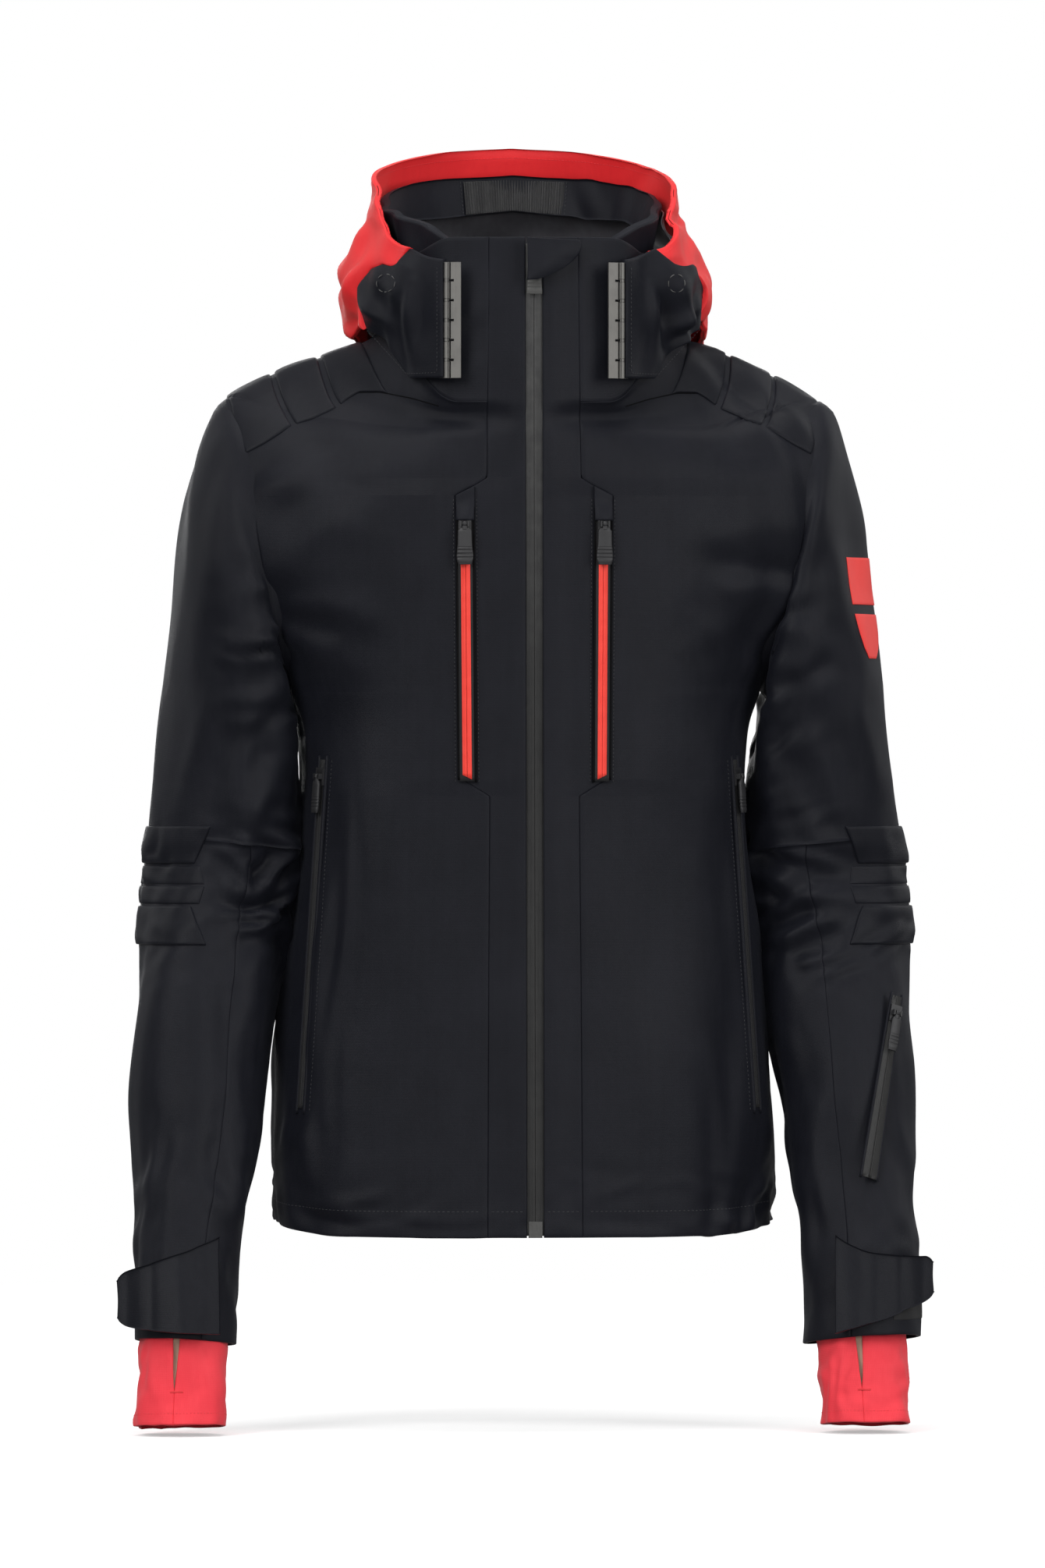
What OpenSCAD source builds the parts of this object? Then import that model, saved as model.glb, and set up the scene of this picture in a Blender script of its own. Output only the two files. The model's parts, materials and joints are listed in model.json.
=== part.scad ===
// Insulated ski jacket with an attached hood, wrist gaiters and six zips.
// Origin: centre of the hem opening. +Z up, -Y is the wearer's front, +X is the wearer's left.
// The left-hand parts are drawn, and the right-hand ones are their mirror images.

/* [Body] */
// Height of the top of the collar above the hem
collar_top = 735; // [725:1:745]
// Distance from the side line to the front zip at the hem
hem_depth = 122; // [118:1:126]
// Distance from the side line to the front zip at the top of the collar
collar_depth = 106; // [104:1:110]
// Thickness of the outer fabric
fabric = 1.5; // [1:0.1:1.6]
// Thickness of the insulation
wadding = 4.5; // [3:0.5:5]
// Thickness of the lining
lining = 0.8; // [0.5:0.1:1]
// Space between one layer and the next
layer_gap = 0.4; // [0.3:0.1:0.6]

/* [Sleeves] */
// Height of the elbow
elbow_z = 258; // [250:1:266]
// Depth of the elbow's turning line behind the side line
elbow_y = 8; // [4:1:12]
// Height of the end of the cuff
cuff_z = -70; // [-80:1:-60]
// Forward slope of the forearm, in degrees
forearm_slope = 16; // [12:1:18]
// Length of the wrist gaiter below the cuff
gaiter_length = 64; // [50:1:70]

/* [Hood] */
// Height of the rim at the back of the hood
rim_top = 805; // [795:1:815]
// Half width of the rim
rim_half_width = 114; // [110:1:118]
// Largest half width of the hood
hood_half_width = 138; // [134:1:142]
// Distance from the side line to the front edge of the hood flaps' curve
hood_front = 120; // [118:1:124]
// Distance from the side line to the furthest point at the back
hood_back = 150; // [140:1:155]

/* [Hardware] */
// Width of the front zip's tape
front_tape = 12; // [10:1:14]
// Radius of the bar that a zip puller hangs from
bar_r = 0.9; // [0.8:0.05:1]
// Running clearance of a puller on its bar
bar_clearance = 0.08; // [0.05:0.01:0.1]
// Radius of the hinge pins of the hood catches
pin_r = 1; // [0.8:0.1:1.1]
// Height of the hood catches
catch_height = 85; // [80:1:88]
// Inner radius of the hanger loop
loop_r = 14; // [12:1:15]

/* [Hidden] */
$fn = 32;

cloth = [0.13, 0.13, 0.15];
inner_cloth = [0.3, 0.3, 0.32];
accent = [0.9, 0.15, 0.15];
metal = [0.4, 0.39, 0.38];
plastic = [0.2, 0.2, 0.22];

// Each level of the body: height, half width, back depth and squareness of the outline
BODY = [
    [2, 181, 118, 2.5], [30, 187, 121, 2.5], [116, 183, 120, 2.5], [228, 172, 113, 2.4],
    [300, 165, 108, 2.4], [353, 166, 110, 2.4], [394, 172, 114, 2.4], [412, 176, 117, 2.4],
    [432, 181, 119, 2.4], [466, 188, 122, 2.4], [520, 194, 123, 2.4], [565, 196, 120, 2.2],
    [600, 196, 111, 1.8], [620, 194, 101, 1.5], [630, 191, 94, 1.4], [640, 184, 89, 1.3],
    [652, 156, 83, 1.35], [664, 124, 79, 1.5], [676, 98, 77, 1.8]
];
ARMHOLE = [520, 104, 32]; // height of its middle, half height, and half width as an angle
SEAM = 0.6;               // half the space between two panels that are sewn together
ZIP_EDGE = front_tape / 2 + 1;
body_inner = fabric + layer_gap;
body_lined = body_inner + wadding + layer_gap;

// ---- general shapes ----

function spow(v, e) = sign(v) * pow(abs(v), e);
function mix(a, b, t) = a + (b - a) * t;
function smooth(a, b, v) = let (t = min(max((v - a) / (b - a), 0), 1)) t * t * (3 - 2 * t);
function flat(rows) = [for (row = rows) for (p = row) p];
function front_depth(z) = mix(hem_depth, collar_depth, z / collar_top);

// Points of an outline at one height; angle 0 is the front and 90 the wearer's left
function outline(z, a, f, b, n, angles) = [for (u = angles)
    [a * spow(sin(u), 2 / n), -(cos(u) > 0 ? f : b) * spow(cos(u), 2 / n), z]];
function steps(from, to, count) = [for (k = [0:count]) mix(from, to, k / count)];

// A sheet, or a tube when closed, between two grids of points
module shell(outer, inner, closed = false) {
    rows = len(outer);
    cols = len(outer[0]);
    last = closed ? cols - 1 : cols - 2;
    at = function (side, i, j) side * rows * cols + i * cols + j % cols;
    skin = function (side, i, j) side == 0
        ? [at(0, i, j), at(0, i, j + 1), at(0, i + 1, j + 1), at(0, i + 1, j)]
        : [at(1, i, j), at(1, i + 1, j), at(1, i + 1, j + 1), at(1, i, j + 1)];
    rim = function (i, j, k, m) [at(0, i, j), at(0, k, m), at(1, k, m), at(1, i, j)];
    quads = concat(
        [for (side = [0, 1], i = [0:rows - 2], j = [0:last]) skin(side, i, j)],
        [for (j = [0:last]) rim(0, j + 1, 0, j)],
        [for (j = [0:last]) rim(rows - 1, j, rows - 1, j + 1)],
        closed ? [] : [for (i = [0:rows - 2]) rim(i, 0, i + 1, 0)],
        closed ? [] : [for (i = [0:rows - 2]) rim(i + 1, cols - 1, i, cols - 1)]);
    faces = [for (q = quads, half = [[0, 1, 2], [0, 2, 3]]) [for (c = half) q[c]]];
    polyhedron(points = concat(flat(outer), flat(inner)), faces = faces, convexity = 10);
}

// Places children along a line from bottom to top, with their -Y side turned to yaw
module along(bottom, top, yaw = 0) {
    d = top - bottom;
    turn = atan2(d.y, d.x);
    translate(bottom) rotate([0, acos(d.z / norm(d)), turn]) rotate([0, 0, yaw - turn]) children();
}

module both() {
    children();
    mirror([1, 0, 0]) children();
}

// ---- body ----

// Level i of the body, moved inwards by t: height, half width, front depth, back depth, squareness
function level(i, t) =
    let (p = BODY[max(i - 1, 0)], q = BODY[min(i + 1, len(BODY) - 1)], b = BODY[i],
         dz = q[0] - p[0], da = q[1] - p[1], l = norm([dz, da]))
    [b[0] + t * da / l, b[1] - t * dz / l, front_depth(b[0]) - t, b[2] - t, b[3]];
function armhole(i) =
    let (h = (BODY[i][0] - ARMHOLE[0]) / ARMHOLE[1]) abs(h) < 1 ? ARMHOLE[2] * sqrt(1 - h * h) : 0;
function edge_angle(l, x) = asin(pow(x / l[1], l[4] / 2));
function side_angle(depth, n) = acos(pow(SEAM / depth, n / 2));
// Angles from the zip to the side, the same for every layer
function front_angles(i, cols) = let (b = level(i, 0))
    steps(edge_angle(b, ZIP_EDGE), side_angle(b[2], b[4]) - armhole(i), cols);
// A row whose first point is moved along its first step, so that it starts at x
function trimmed(row, x) =
    [for (k = [0:len(row) - 1]) k > 0 ? row[k] : mix(row[0], row[1], (x - row[0].x) / (row[1].x - row[0].x))];
function front_rows(t, x, cols) = [for (i = [0:len(BODY) - 1])
    let (l = level(i, t)) trimmed(outline(l[0], l[1], l[2], l[3], l[4], front_angles(i, cols)), x)];
function back_rows(t, cols) = [for (i = [0:len(BODY) - 1])
    let (b = level(i, 0), l = level(i, t), u = 180 - side_angle(b[3], b[4]) + armhole(i))
    outline(l[0], l[1], l[2], l[3], l[4], steps(u, 360 - u, cols))];
module front_layer(t, thick, x) {
    shell(front_rows(t, x, 7), front_rows(t + thick, x, 7));
}
module back_layer(t, thick) {
    shell(back_rows(t, 12), back_rows(t + thick, 12));
}

module front_panel_left() {
    color(cloth) front_layer(0, fabric, ZIP_EDGE);
}
module front_panel_right() {
    color(cloth) mirror([1, 0, 0]) front_layer(0, fabric, ZIP_EDGE);
}
module back_panel() {
    color(cloth) back_layer(0, fabric);
}
module body_insulation() {
    color(inner_cloth) {
        both() front_layer(body_inner + 0.2, wadding, 24);
        back_layer(body_inner, wadding);
    }
}
module body_lining() {
    color(inner_cloth) {
        both() front_layer(body_lined, lining, 24);
        back_layer(body_lined, lining);
    }
}

// Quilted pads that lie on the shoulder, in three cells divided by channels
module shoulder_pads() {
    cells = [[106, 136], [139, 170], [173, 196]];
    drop = function (x) 672 - 0.0042 * pow(x - 90, 2);
    lift = function (x, y, t) [x, y, drop(x) + t - 0.011 * y * y];
    row = function (x, t) [for (y = [-36:9:36]) lift(x, y, t)];
    color(cloth) both() for (c = cells)
        shell([for (x = steps(c[0], c[1], 2)) row(x, 11)], [for (x = steps(c[0], c[1], 2)) row(x, 8.2)]);
}

// Strip of fabric behind the front zip that keeps the wind out
module storm_flap() {
    behind = 6.6;
    color(inner_cloth) along([0, behind - hem_depth, 8], [0, behind - collar_depth, collar_top - 12])
        translate([-15, 0, 0]) cube([30, 1.2, collar_top - 22]);
}

// ---- collar ----

COLLAR = [[678.5, 97, 77], [700, 91, 74], [718, 88, 72], [collar_top, 86, 71]];
function reversed(row) = [for (k = [len(row) - 1:-1:0]) row[k]];
function collar_rows(t, x) = [for (c = COLLAR)
    let (a = c[1] - t, u = asin(ZIP_EDGE / c[1]),
         row = outline(c[0], a, front_depth(c[0]) - t, c[2] - t, 2, steps(u, 360 - u, 26)))
    reversed(trimmed(reversed(trimmed(row, x)), -x))];
module collar_shell() {
    color(cloth) shell(collar_rows(0, ZIP_EDGE), collar_rows(fabric, ZIP_EDGE));
}
module collar_lining() {
    color(inner_cloth) shell(collar_rows(body_inner, 24), collar_rows(body_inner + 3, 24));
}

// Ribbon loop at the back of the neck; the hook comes down through it
module hanger_loop() {
    wall = 1.2;
    width = 8;
    color(cloth) translate([0, 49.5, 700]) difference() {
        cylinder(r = loop_r + wall, h = width, center = true, $fn = 64);
        cylinder(r = loop_r, h = width + 1, center = true, $fn = 64);
    }
}

// ---- inside the body ----

function skirt_row(z, inset, t) =
    outline(z, 176 - inset - t, 116 - inset - t, 112 - inset - t, 2.4, steps(14, 346, 26));
module powder_skirt() {
    color(inner_cloth) shell(
        [skirt_row(95, 18, 0), skirt_row(140, 16, 0), skirt_row(185, 12, 0)],
        [skirt_row(95, 18, 1.2), skirt_row(140, 16, 1.2), skirt_row(185, 12, 1.2)]);
}
module powder_skirt_snaps() {
    color(metal) both() for (z = [105, 125]) translate([24, -91, z]) rotate([90, 0, 0]) {
        cylinder(r = 6, h = 1.5);
        cylinder(r = 3, h = 3);
    }
}

// Elastic cord that runs inside the hem, drawn as a closed loop
module hem_drawcord() {
    r = 1.4;
    inset = 12;
    section = function (u) let (
        p = outline(14, 183 - inset, 120 - inset, 118 - inset, 2.4, [u])[0],
        out = [p.x, p.y, 0] / norm([p.x, p.y]))
        [for (k = [0:60:300]) p + out * r * cos(k) + [0, 0, r * sin(k)]];
    core = function (u) let (p = outline(14, 183 - inset, 120 - inset, 118 - inset, 2.4, [u])[0]) p;
    count = 32;
    rings = [for (k = [0:count]) section(16 + 328 * k / count)];
    ends = [[for (k = [0:5]) core(16)], [for (k = [0:5]) core(344)]];
    points = concat(flat(rings), [ends[0][0], ends[1][0]]);
    first = len(points) - 2;
    faces = concat(
        [for (i = [0:count - 1], j = [0:5])
            [i * 6 + j, i * 6 + (j + 1) % 6, (i + 1) * 6 + (j + 1) % 6, (i + 1) * 6 + j]],
        [for (j = [0:5]) [first, (j + 1) % 6, j]],
        [for (j = [0:5]) [first + 1, count * 6 + j, count * 6 + (j + 1) % 6]]);
    color(cloth) polyhedron(points = points, faces = faces, convexity = 10);
}
module hem_cord_locks() {
    color(plastic) both() translate([148, -50, 34]) rotate([0, 0, -60]) difference() {
        cylinder(r = 6, h = 16, center = true);
        rotate([90, 0, 0]) cylinder(r = 2, h = 20, center = true);
    }
}

// Pocket bags hang between the insulation and the wearer
module bag(corner, size, yaw) {
    translate(corner) rotate([0, 0, yaw]) cube(size);
}
module chest_pocket_bags() {
    color(inner_cloth) both() bag([32, -96, 330], [62, 2, 170], 6);
}
module hand_pocket_bags() {
    color(inner_cloth) both() bag([70, -84, 205], [74, 2, 130], 20);
}

// ---- zips ----

// Two tape halves with a coil along each inner edge; z = 0 is the bottom of the zip
module zip_strip(length, width) {
    slit = 0.15;
    coil = 0.7;
    both() {
        translate([slit, -0.4, 0]) cube([width / 2 - slit, 0.8, length]);
        translate([slit + coil, -0.4, 0]) cylinder(r = coil, h = length, $fn = 16);
    }
}

PLATE = [9, 1.3, 13];  // front plate of a slider
BAR_Y = -5;            // how far the bar stands in front of the tape
CHEEK = 1.2;           // thickness of the cheeks that hold the bar
EYE = 4;               // width of the puller's eye
module slider(scale_to = 1) {
    color(plastic) scale(scale_to) {
        translate([-PLATE.x / 2, -1.4 - PLATE.y, -PLATE.z / 2]) cube(PLATE);
        both() translate([EYE / 2 + 0.2, BAR_Y - 1.1, -2]) cube([CHEEK, -BAR_Y - 1.1, 4]);
        translate([0, BAR_Y, 0]) rotate([0, 90, 0])
            cylinder(r = bar_r, h = EYE + 2 * CHEEK, center = true, $fn = 24);
    }
}
module puller_eye() {
    translate([0, BAR_Y, 0]) rotate([0, 90, 0]) cylinder(r = 2, h = EYE - 0.3, center = true);
}
module puller_bore() {
    translate([0, BAR_Y, 0]) rotate([0, 90, 0])
        cylinder(r = bar_r + bar_clearance, h = EYE + 20, center = true);
}
// Plate that hangs from the eye: widths at its top, shoulder and end
module puller(length, top_w, mid_w, end_w) {
    thick = 2.2;
    shoulder = 0.3 * length;
    half = [[top_w / 2, -3.8], [mid_w / 2, -shoulder], [end_w / 2, -length]];
    outline_2d = concat(half, [for (k = [2:-1:0]) [-half[k].x, half[k].y]]);
    color(plastic) difference() {
        union() {
            puller_eye();
            translate([-1.8, BAR_Y - thick / 2, -5]) cube([3.6, thick, 4.5]);
            translate([0, BAR_Y + thick / 2, 0]) rotate([90, 0, 0])
                linear_extrude(thick) polygon(outline_2d);
        }
        puller_bore();
    }
}

FRONT_BOTTOM = [0, 0.6 - hem_depth, 0];
FRONT_TOP = [0, 0.6 - collar_depth, collar_top];
CHEST_TOP = [51, -110.5, 536];
CHEST_BOTTOM = [49.5, -113.5, 334];
HAND_TOP = [152.2, -61.3, 352];
HAND_BOTTOM = [169.2, -64.3, 93];
PASS_TOP = [273, -66, 178];
PASS_BOTTOM = [247.5, -106, 42];
CHEST_YAW = 9;
HAND_YAW = 55;
PASS_YAW = 24;
FRONT_REST = 722;      // how far up its tape each slider rests
CHEST_REST = 190;
HAND_REST = 246;
PASS_REST = 128;

module at_front(lift = 0) {
    along(FRONT_BOTTOM, FRONT_TOP) translate([0, 0, lift]) children();
}
module at_chest(lift = 0) {
    along(CHEST_BOTTOM, CHEST_TOP, CHEST_YAW) translate([0, 0, lift]) children();
}
module at_hand(lift = 0) {
    along(HAND_BOTTOM, HAND_TOP, HAND_YAW) translate([0, 0, lift]) children();
}
module at_pass(lift = 0) {
    along(PASS_BOTTOM, PASS_TOP, PASS_YAW) translate([0, 0, lift]) children();
}

module front_zip() {
    color(metal) at_front(13) zip_strip(collar_top - 16, front_tape);
}
module front_zip_box() {
    color(metal) at_front(0) difference() {
        translate([-5, -1.8, 0]) cube([10, 3.6, 12]);
        translate([1.2, -0.7, 2]) cube([2.6, 1.4, 11]);
    }
}
// Half-round flap that covers the slider when the collar is closed
module zip_garage() {
    color(cloth) at_front(collar_top - 35) translate([-2, -10.6, 0]) rotate([90, 0, 0])
        linear_extrude(fabric) intersection() {
            translate([18.5, 17.5]) scale([1.03, 1]) circle(r = 17.5, $fn = 48);
            translate([0, 0]) square([40, 40]);
        }
}
module front_slider() {
    at_front(FRONT_REST) slider();
}
module front_puller() {
    at_front(FRONT_REST) puller(28, 7, 10, 12);
}
module chest_zips() {
    color(accent) both() at_chest() translate([0, 0.3, 0]) zip_strip(202, 7);
}
module chest_slider_left() {
    at_chest(CHEST_REST) slider();
}
module chest_slider_right() {
    mirror([1, 0, 0]) chest_slider_left();
}
module chest_puller_left() {
    at_chest(CHEST_REST) puller(28, 8, 13, 11);
}
module chest_puller_right() {
    mirror([1, 0, 0]) chest_puller_left();
}
module hand_zips() {
    color(plastic) both() at_hand() translate([0, 0.3, 0]) zip_strip(259, 7);
}
module hand_slider_left() {
    at_hand(HAND_REST) slider();
}
module hand_slider_right() {
    mirror([1, 0, 0]) hand_slider_left();
}
module hand_puller_left() {
    at_hand(HAND_REST) puller(26, 7, 9, 8);
}
module hand_puller_right() {
    mirror([1, 0, 0]) hand_puller_left();
}
module pass_zip() {
    color(metal) at_pass() translate([0, 0.3, 0]) zip_strip(139, 12);
}
module pass_slider() {
    at_pass(PASS_REST) slider();
}
module pass_puller() {
    at_pass(PASS_REST) puller(28, 7, 7, 7);
}

// ---- hood ----

HOOD_EDGE = 28;        // angle of the flaps' front edge
FLAP_END = 61;         // angle where a flap meets the crown
function hood_low(u) = let (v = min(u, 360 - u)) v < 90
    ? mix(632, 680, smooth(40, 75, v)) : mix(680, 652, smooth(100, 170, v));
function hood_rim(u) = let (v = min(u, 360 - u)) v < 90
    ? mix(722, 777, smooth(HOOD_EDGE, 88, v)) : mix(777, rim_top, smooth(90, 165, v));
// A width or depth that grows from low to mid at share v = s, and then shrinks to high
function swell(v, s, low, mid, high) =
    v < s ? mix(low, mid, smooth(0, s, v)) : mix(mid, high, smooth(s, 1, v));
function hood_half(v) = swell(v, 0.45, 127, hood_half_width, rim_half_width);
function hood_rear(v) = swell(v, 0.4, 98, hood_back, 112);
function hood_point(u, v, t) = outline(mix(hood_low(u), hood_rim(u), v),
    hood_half(v) - t, hood_front - t, hood_rear(v) - t, 2, [u])[0];
function hood_grid(u0, u1, v0, v1, t, cols, rows) =
    [for (v = steps(v0, v1, rows)) [for (u = steps(u0, u1, cols)) hood_point(u, v, t)]];
module hood_sheet(u0, u1, v0, v1, t, thick, cols, rows) {
    shell(hood_grid(u0, u1, v0, v1, t, cols, rows), hood_grid(u0, u1, v0, v1, t + thick, cols, rows));
}

module hood_crown() {
    color(accent) hood_sheet(FLAP_END + 0.5, 359.5 - FLAP_END, 0, 1, 0, fabric, 24, 7);
}
module hood_flap_left() {
    color(cloth) hood_sheet(HOOD_EDGE, FLAP_END, 0, 1, 0, 2.5, 6, 6);
}
module hood_flap_right() {
    mirror([1, 0, 0]) hood_flap_left();
}
module hood_lining() {
    color(inner_cloth) hood_sheet(FLAP_END + 2, 358 - FLAP_END, 0.06, 0.62, 5.5, 1, 24, 4);
}
module hood_rim_band() {
    color(cloth) hood_sheet(FLAP_END + 2, 358 - FLAP_END, 0.66, 0.9, 5.5, 5, 24, 2);
}

// Catch that joins a hood flap to the collar: a leaf that turns on a long pin
CATCH_AT = [64.5, -110.5, 631];
CATCH_YAW = 22;
KNUCKLES = 6;
SLOT = 2.6;
knuckle = (catch_height - (KNUCKLES - 1) * SLOT) / KNUCKLES;
pitch = knuckle + SLOT;
module at_catch() {
    translate(CATCH_AT) rotate([0, 0, CATCH_YAW]) children();
}
module tube_at(z, h, r) {
    translate([0, 0, z]) difference() {
        cylinder(r = r, h = h);
        translate([0, 0, -1]) cylinder(r = pin_r + bar_clearance, h = h + 2);
    }
}
module hood_catch_left() {
    color(metal) at_catch() difference() {
        union() {
            for (k = [0:KNUCKLES - 1]) translate([0, 0, k * pitch]) cylinder(r = 2.4, h = knuckle);
            for (k = [0:KNUCKLES - 1]) translate([0, 1.2, k * pitch]) cube([6, 1.1, knuckle]);
            translate([3, 1.2, 0]) cube([3, 1.1, catch_height]);
        }
        translate([0, 0, -1]) cylinder(r = pin_r + bar_clearance, h = catch_height + 2);
    }
}
module hood_catch_right() {
    mirror([1, 0, 0]) hood_catch_left();
}
module hood_catch_pins() {
    color(metal) both() at_catch() translate([0, 0, 0.2]) cylinder(r = pin_r, h = catch_height - 0.4);
}
module hood_leaf_left() {
    tongue = 2;
    color(metal) at_catch() {
        for (k = [0:KNUCKLES - 2]) {
            z = k * pitch + knuckle + (SLOT - tongue) / 2;
            tube_at(z, tongue, 2.2);
            translate([-4, -0.6, z]) cube([2.6, 1.2, tongue]);
        }
        translate([-11, -0.6, 0]) cube([8, 1.2, catch_height]);
    }
}
module hood_leaf_right() {
    mirror([1, 0, 0]) hood_leaf_left();
}

// ---- sleeves ----

// Ring of a sleeve: centre, half-axis across and half-axis towards the back
function sleeve_ring(c, p, q, t, angles) = [for (u = angles)
    c + p * (1 - t / norm(p)) * spow(cos(u), 2 / 2.2) + q * (1 - t / norm(q)) * spow(sin(u), 2 / 2.2)];
ROUND = [for (k = [0:15]) k * 22.5];
UPPER = [
    [[222, 0, 534], 37 * [cos(45), 0, sin(45)], [0, 66, 0]],
    [[229, 0, 490], 36 * [cos(30), 0, sin(30)], [0, 70, 0]],
    [[226.5, 0, 440], 40 * [cos(12), 0, sin(12)], [0, 72, 0]],
    [[223, 2, 395], [46, 0, 0], [0, 72, 0]],
    [[223.5, 5, 345], [50.5, 0, 0], [0, 69, 0]]
];
ELBOW_RING = [[227.5, elbow_y, elbow_z], [56, 0, 0], [0, 62, 0]];
ELBOW_NOTCH = 38;      // slope of each side of the notch that lets the elbow bend
slope = tan(forearm_slope);
function arm_y(z) = elbow_y - (elbow_z - z) * slope;
function arm_ring(z, x, half_w, half_d) =
    [[x, arm_y(z), z], [half_w, 0, 0], half_d * [0, cos(forearm_slope), -sin(forearm_slope)]];
FOREARM = [
    arm_ring(165, 235.5, 52, 56), arm_ring(100, 240, 50.3, 52),
    arm_ring(42, 247, 43.5, 46), arm_ring(-16, 249.5, 41, 42), arm_ring(cuff_z, 251, 39, 38)
];
function notched(points, way) = [for (p = points)
    [p.x, p.y, elbow_z + way * (1.5 + max(0, elbow_y - p.y) * tan(ELBOW_NOTCH))]];
function ring_of(r, t, angles = ROUND) = sleeve_ring(r[0], r[1], r[2], t, angles);
function upper_rows(t) = concat([for (r = UPPER) ring_of(r, t)], [notched(ring_of(ELBOW_RING, t), 1)]);
function forearm_rows(t) =
    concat([notched(ring_of(ELBOW_RING, t), -1)], [for (r = FOREARM) ring_of(r, t)]);

module upper_sleeve_left() {
    color(cloth) shell(upper_rows(0), upper_rows(fabric), true);
}
module upper_sleeve_right() {
    mirror([1, 0, 0]) upper_sleeve_left();
}
module sleeve_lining_left() {
    color(inner_cloth) shell(upper_rows(body_inner), upper_rows(body_inner + 3), true);
}
module sleeve_lining_right() {
    mirror([1, 0, 0]) sleeve_lining_left();
}
module forearm_left() {
    color(cloth) shell(forearm_rows(0), forearm_rows(fabric + 2), true);
}
module forearm_right() {
    mirror([1, 0, 0]) forearm_left();
}

// Raised pad on the outer back of the elbow, between two heights
module elbow_cell(z0, z1, half_w, x, y) {
    angles = [for (u = [2:11:90]) u];
    ring = function (z, t) sleeve_ring([x, y, z], [half_w, 0, 0], [0, 62, 0], t, angles);
    shell([for (z = steps(z0, z1, 2)) ring(z, -7)], [for (z = steps(z0, z1, 2)) ring(z, -2.5)]);
}
module elbow_pad_left() {
    color(cloth) elbow_cell(274, 302, 55, 226.5, 8);
}
module elbow_pad_right() {
    mirror([1, 0, 0]) elbow_pad_left();
}
module forearm_pad_left() {
    color(cloth) elbow_cell(216, 243, 56, 229, 4);
}
module forearm_pad_right() {
    mirror([1, 0, 0]) forearm_pad_left();
}

// Stretch cuff with a thumb slit, fixed inside the end of the sleeve
module wrist_gaiter_left() {
    top = cuff_z + 22;
    end = cuff_z - gaiter_length;
    row = function (z, x, half_w, half_d, t) ring_of(arm_ring(z, x, half_w, half_d), t);
    color(accent) shell(
        [row(top, 250.5, 32, 30, 0), row(cuff_z, 252, 33, 31, 0), row(end, 256, 32.5, 31, 0)],
        [row(top, 250.5, 32, 30, 1.4), row(cuff_z, 252, 33, 31, 1.4), row(end, 256, 32.5, 31, 1.4)],
        true);
}
module wrist_gaiter_right() {
    mirror([1, 0, 0]) wrist_gaiter_left();
}

// Closing strap of the cuff: it starts at a seam on the inner front and ends proud of the outer side
module cuff_tab_left() {
    line = [[229, -5], [240, -2], [254, -2.5], [268, -6], [278, -11], [290, -17], [301, -21]];
    tops = [-4, -7, -11, -12, -13, -15, -20];
    ends = [-70, -66, -63, -59, -56, -52, -46];
    front = function (z) arm_y(z) - 44.7;
    point = function (k, w, t) let (z = mix(ends[k], tops[k], w))
        [line[k].x, front(z) + (-line[k].y - 1) * 0.9 - t, z];
    grid = function (t) [for (w = [0, 0.5, 1]) [for (k = [0:6]) point(k, w, t)]];
    color(cloth) shell(grid(2.4), grid(0));
}
module cuff_tab_right() {
    mirror([1, 0, 0]) cuff_tab_left();
}

// Plain shield-shaped patch on the outer side of the left upper arm
module sleeve_badge() {
    outline_2d = [[-26, 38], [26, 38], [27, 10], [18, -18], [0, -37], [-18, -18], [-27, 10]];
    color(accent) translate([269.5, 0, 463]) rotate([0, -8, 0]) rotate([90, 0, 90])
        linear_extrude(0.8) polygon(outline_2d);
}

front_panel_left();
front_panel_right();
back_panel();
shoulder_pads();
collar_shell();
collar_lining();
body_insulation();
body_lining();
powder_skirt();
powder_skirt_snaps();
storm_flap();
front_zip();
front_zip_box();
zip_garage();
chest_zips();
chest_pocket_bags();
hand_zips();
hand_pocket_bags();
hanger_loop();
hem_drawcord();
hem_cord_locks();
front_slider();
front_puller();
chest_slider_left();
chest_slider_right();
chest_puller_left();
chest_puller_right();
hand_slider_left();
hand_slider_right();
hand_puller_left();
hand_puller_right();
pass_slider();
pass_puller();
hood_crown();
hood_flap_left();
hood_flap_right();
hood_rim_band();
hood_lining();
hood_catch_left();
hood_catch_right();
hood_catch_pins();
hood_leaf_left();
hood_leaf_right();
upper_sleeve_left();
upper_sleeve_right();
sleeve_lining_left();
sleeve_lining_right();
elbow_pad_left();
elbow_pad_right();
forearm_left();
forearm_right();
forearm_pad_left();
forearm_pad_right();
wrist_gaiter_left();
wrist_gaiter_right();
cuff_tab_left();
cuff_tab_right();
pass_zip();
sleeve_badge();
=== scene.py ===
"""Ski jacket: fabric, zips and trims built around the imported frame. Lengths inside are millimetres."""
import json
import math

import bpy
import numpy as np
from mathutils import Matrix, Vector
from mathutils.bvhtree import BVHTree


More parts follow.
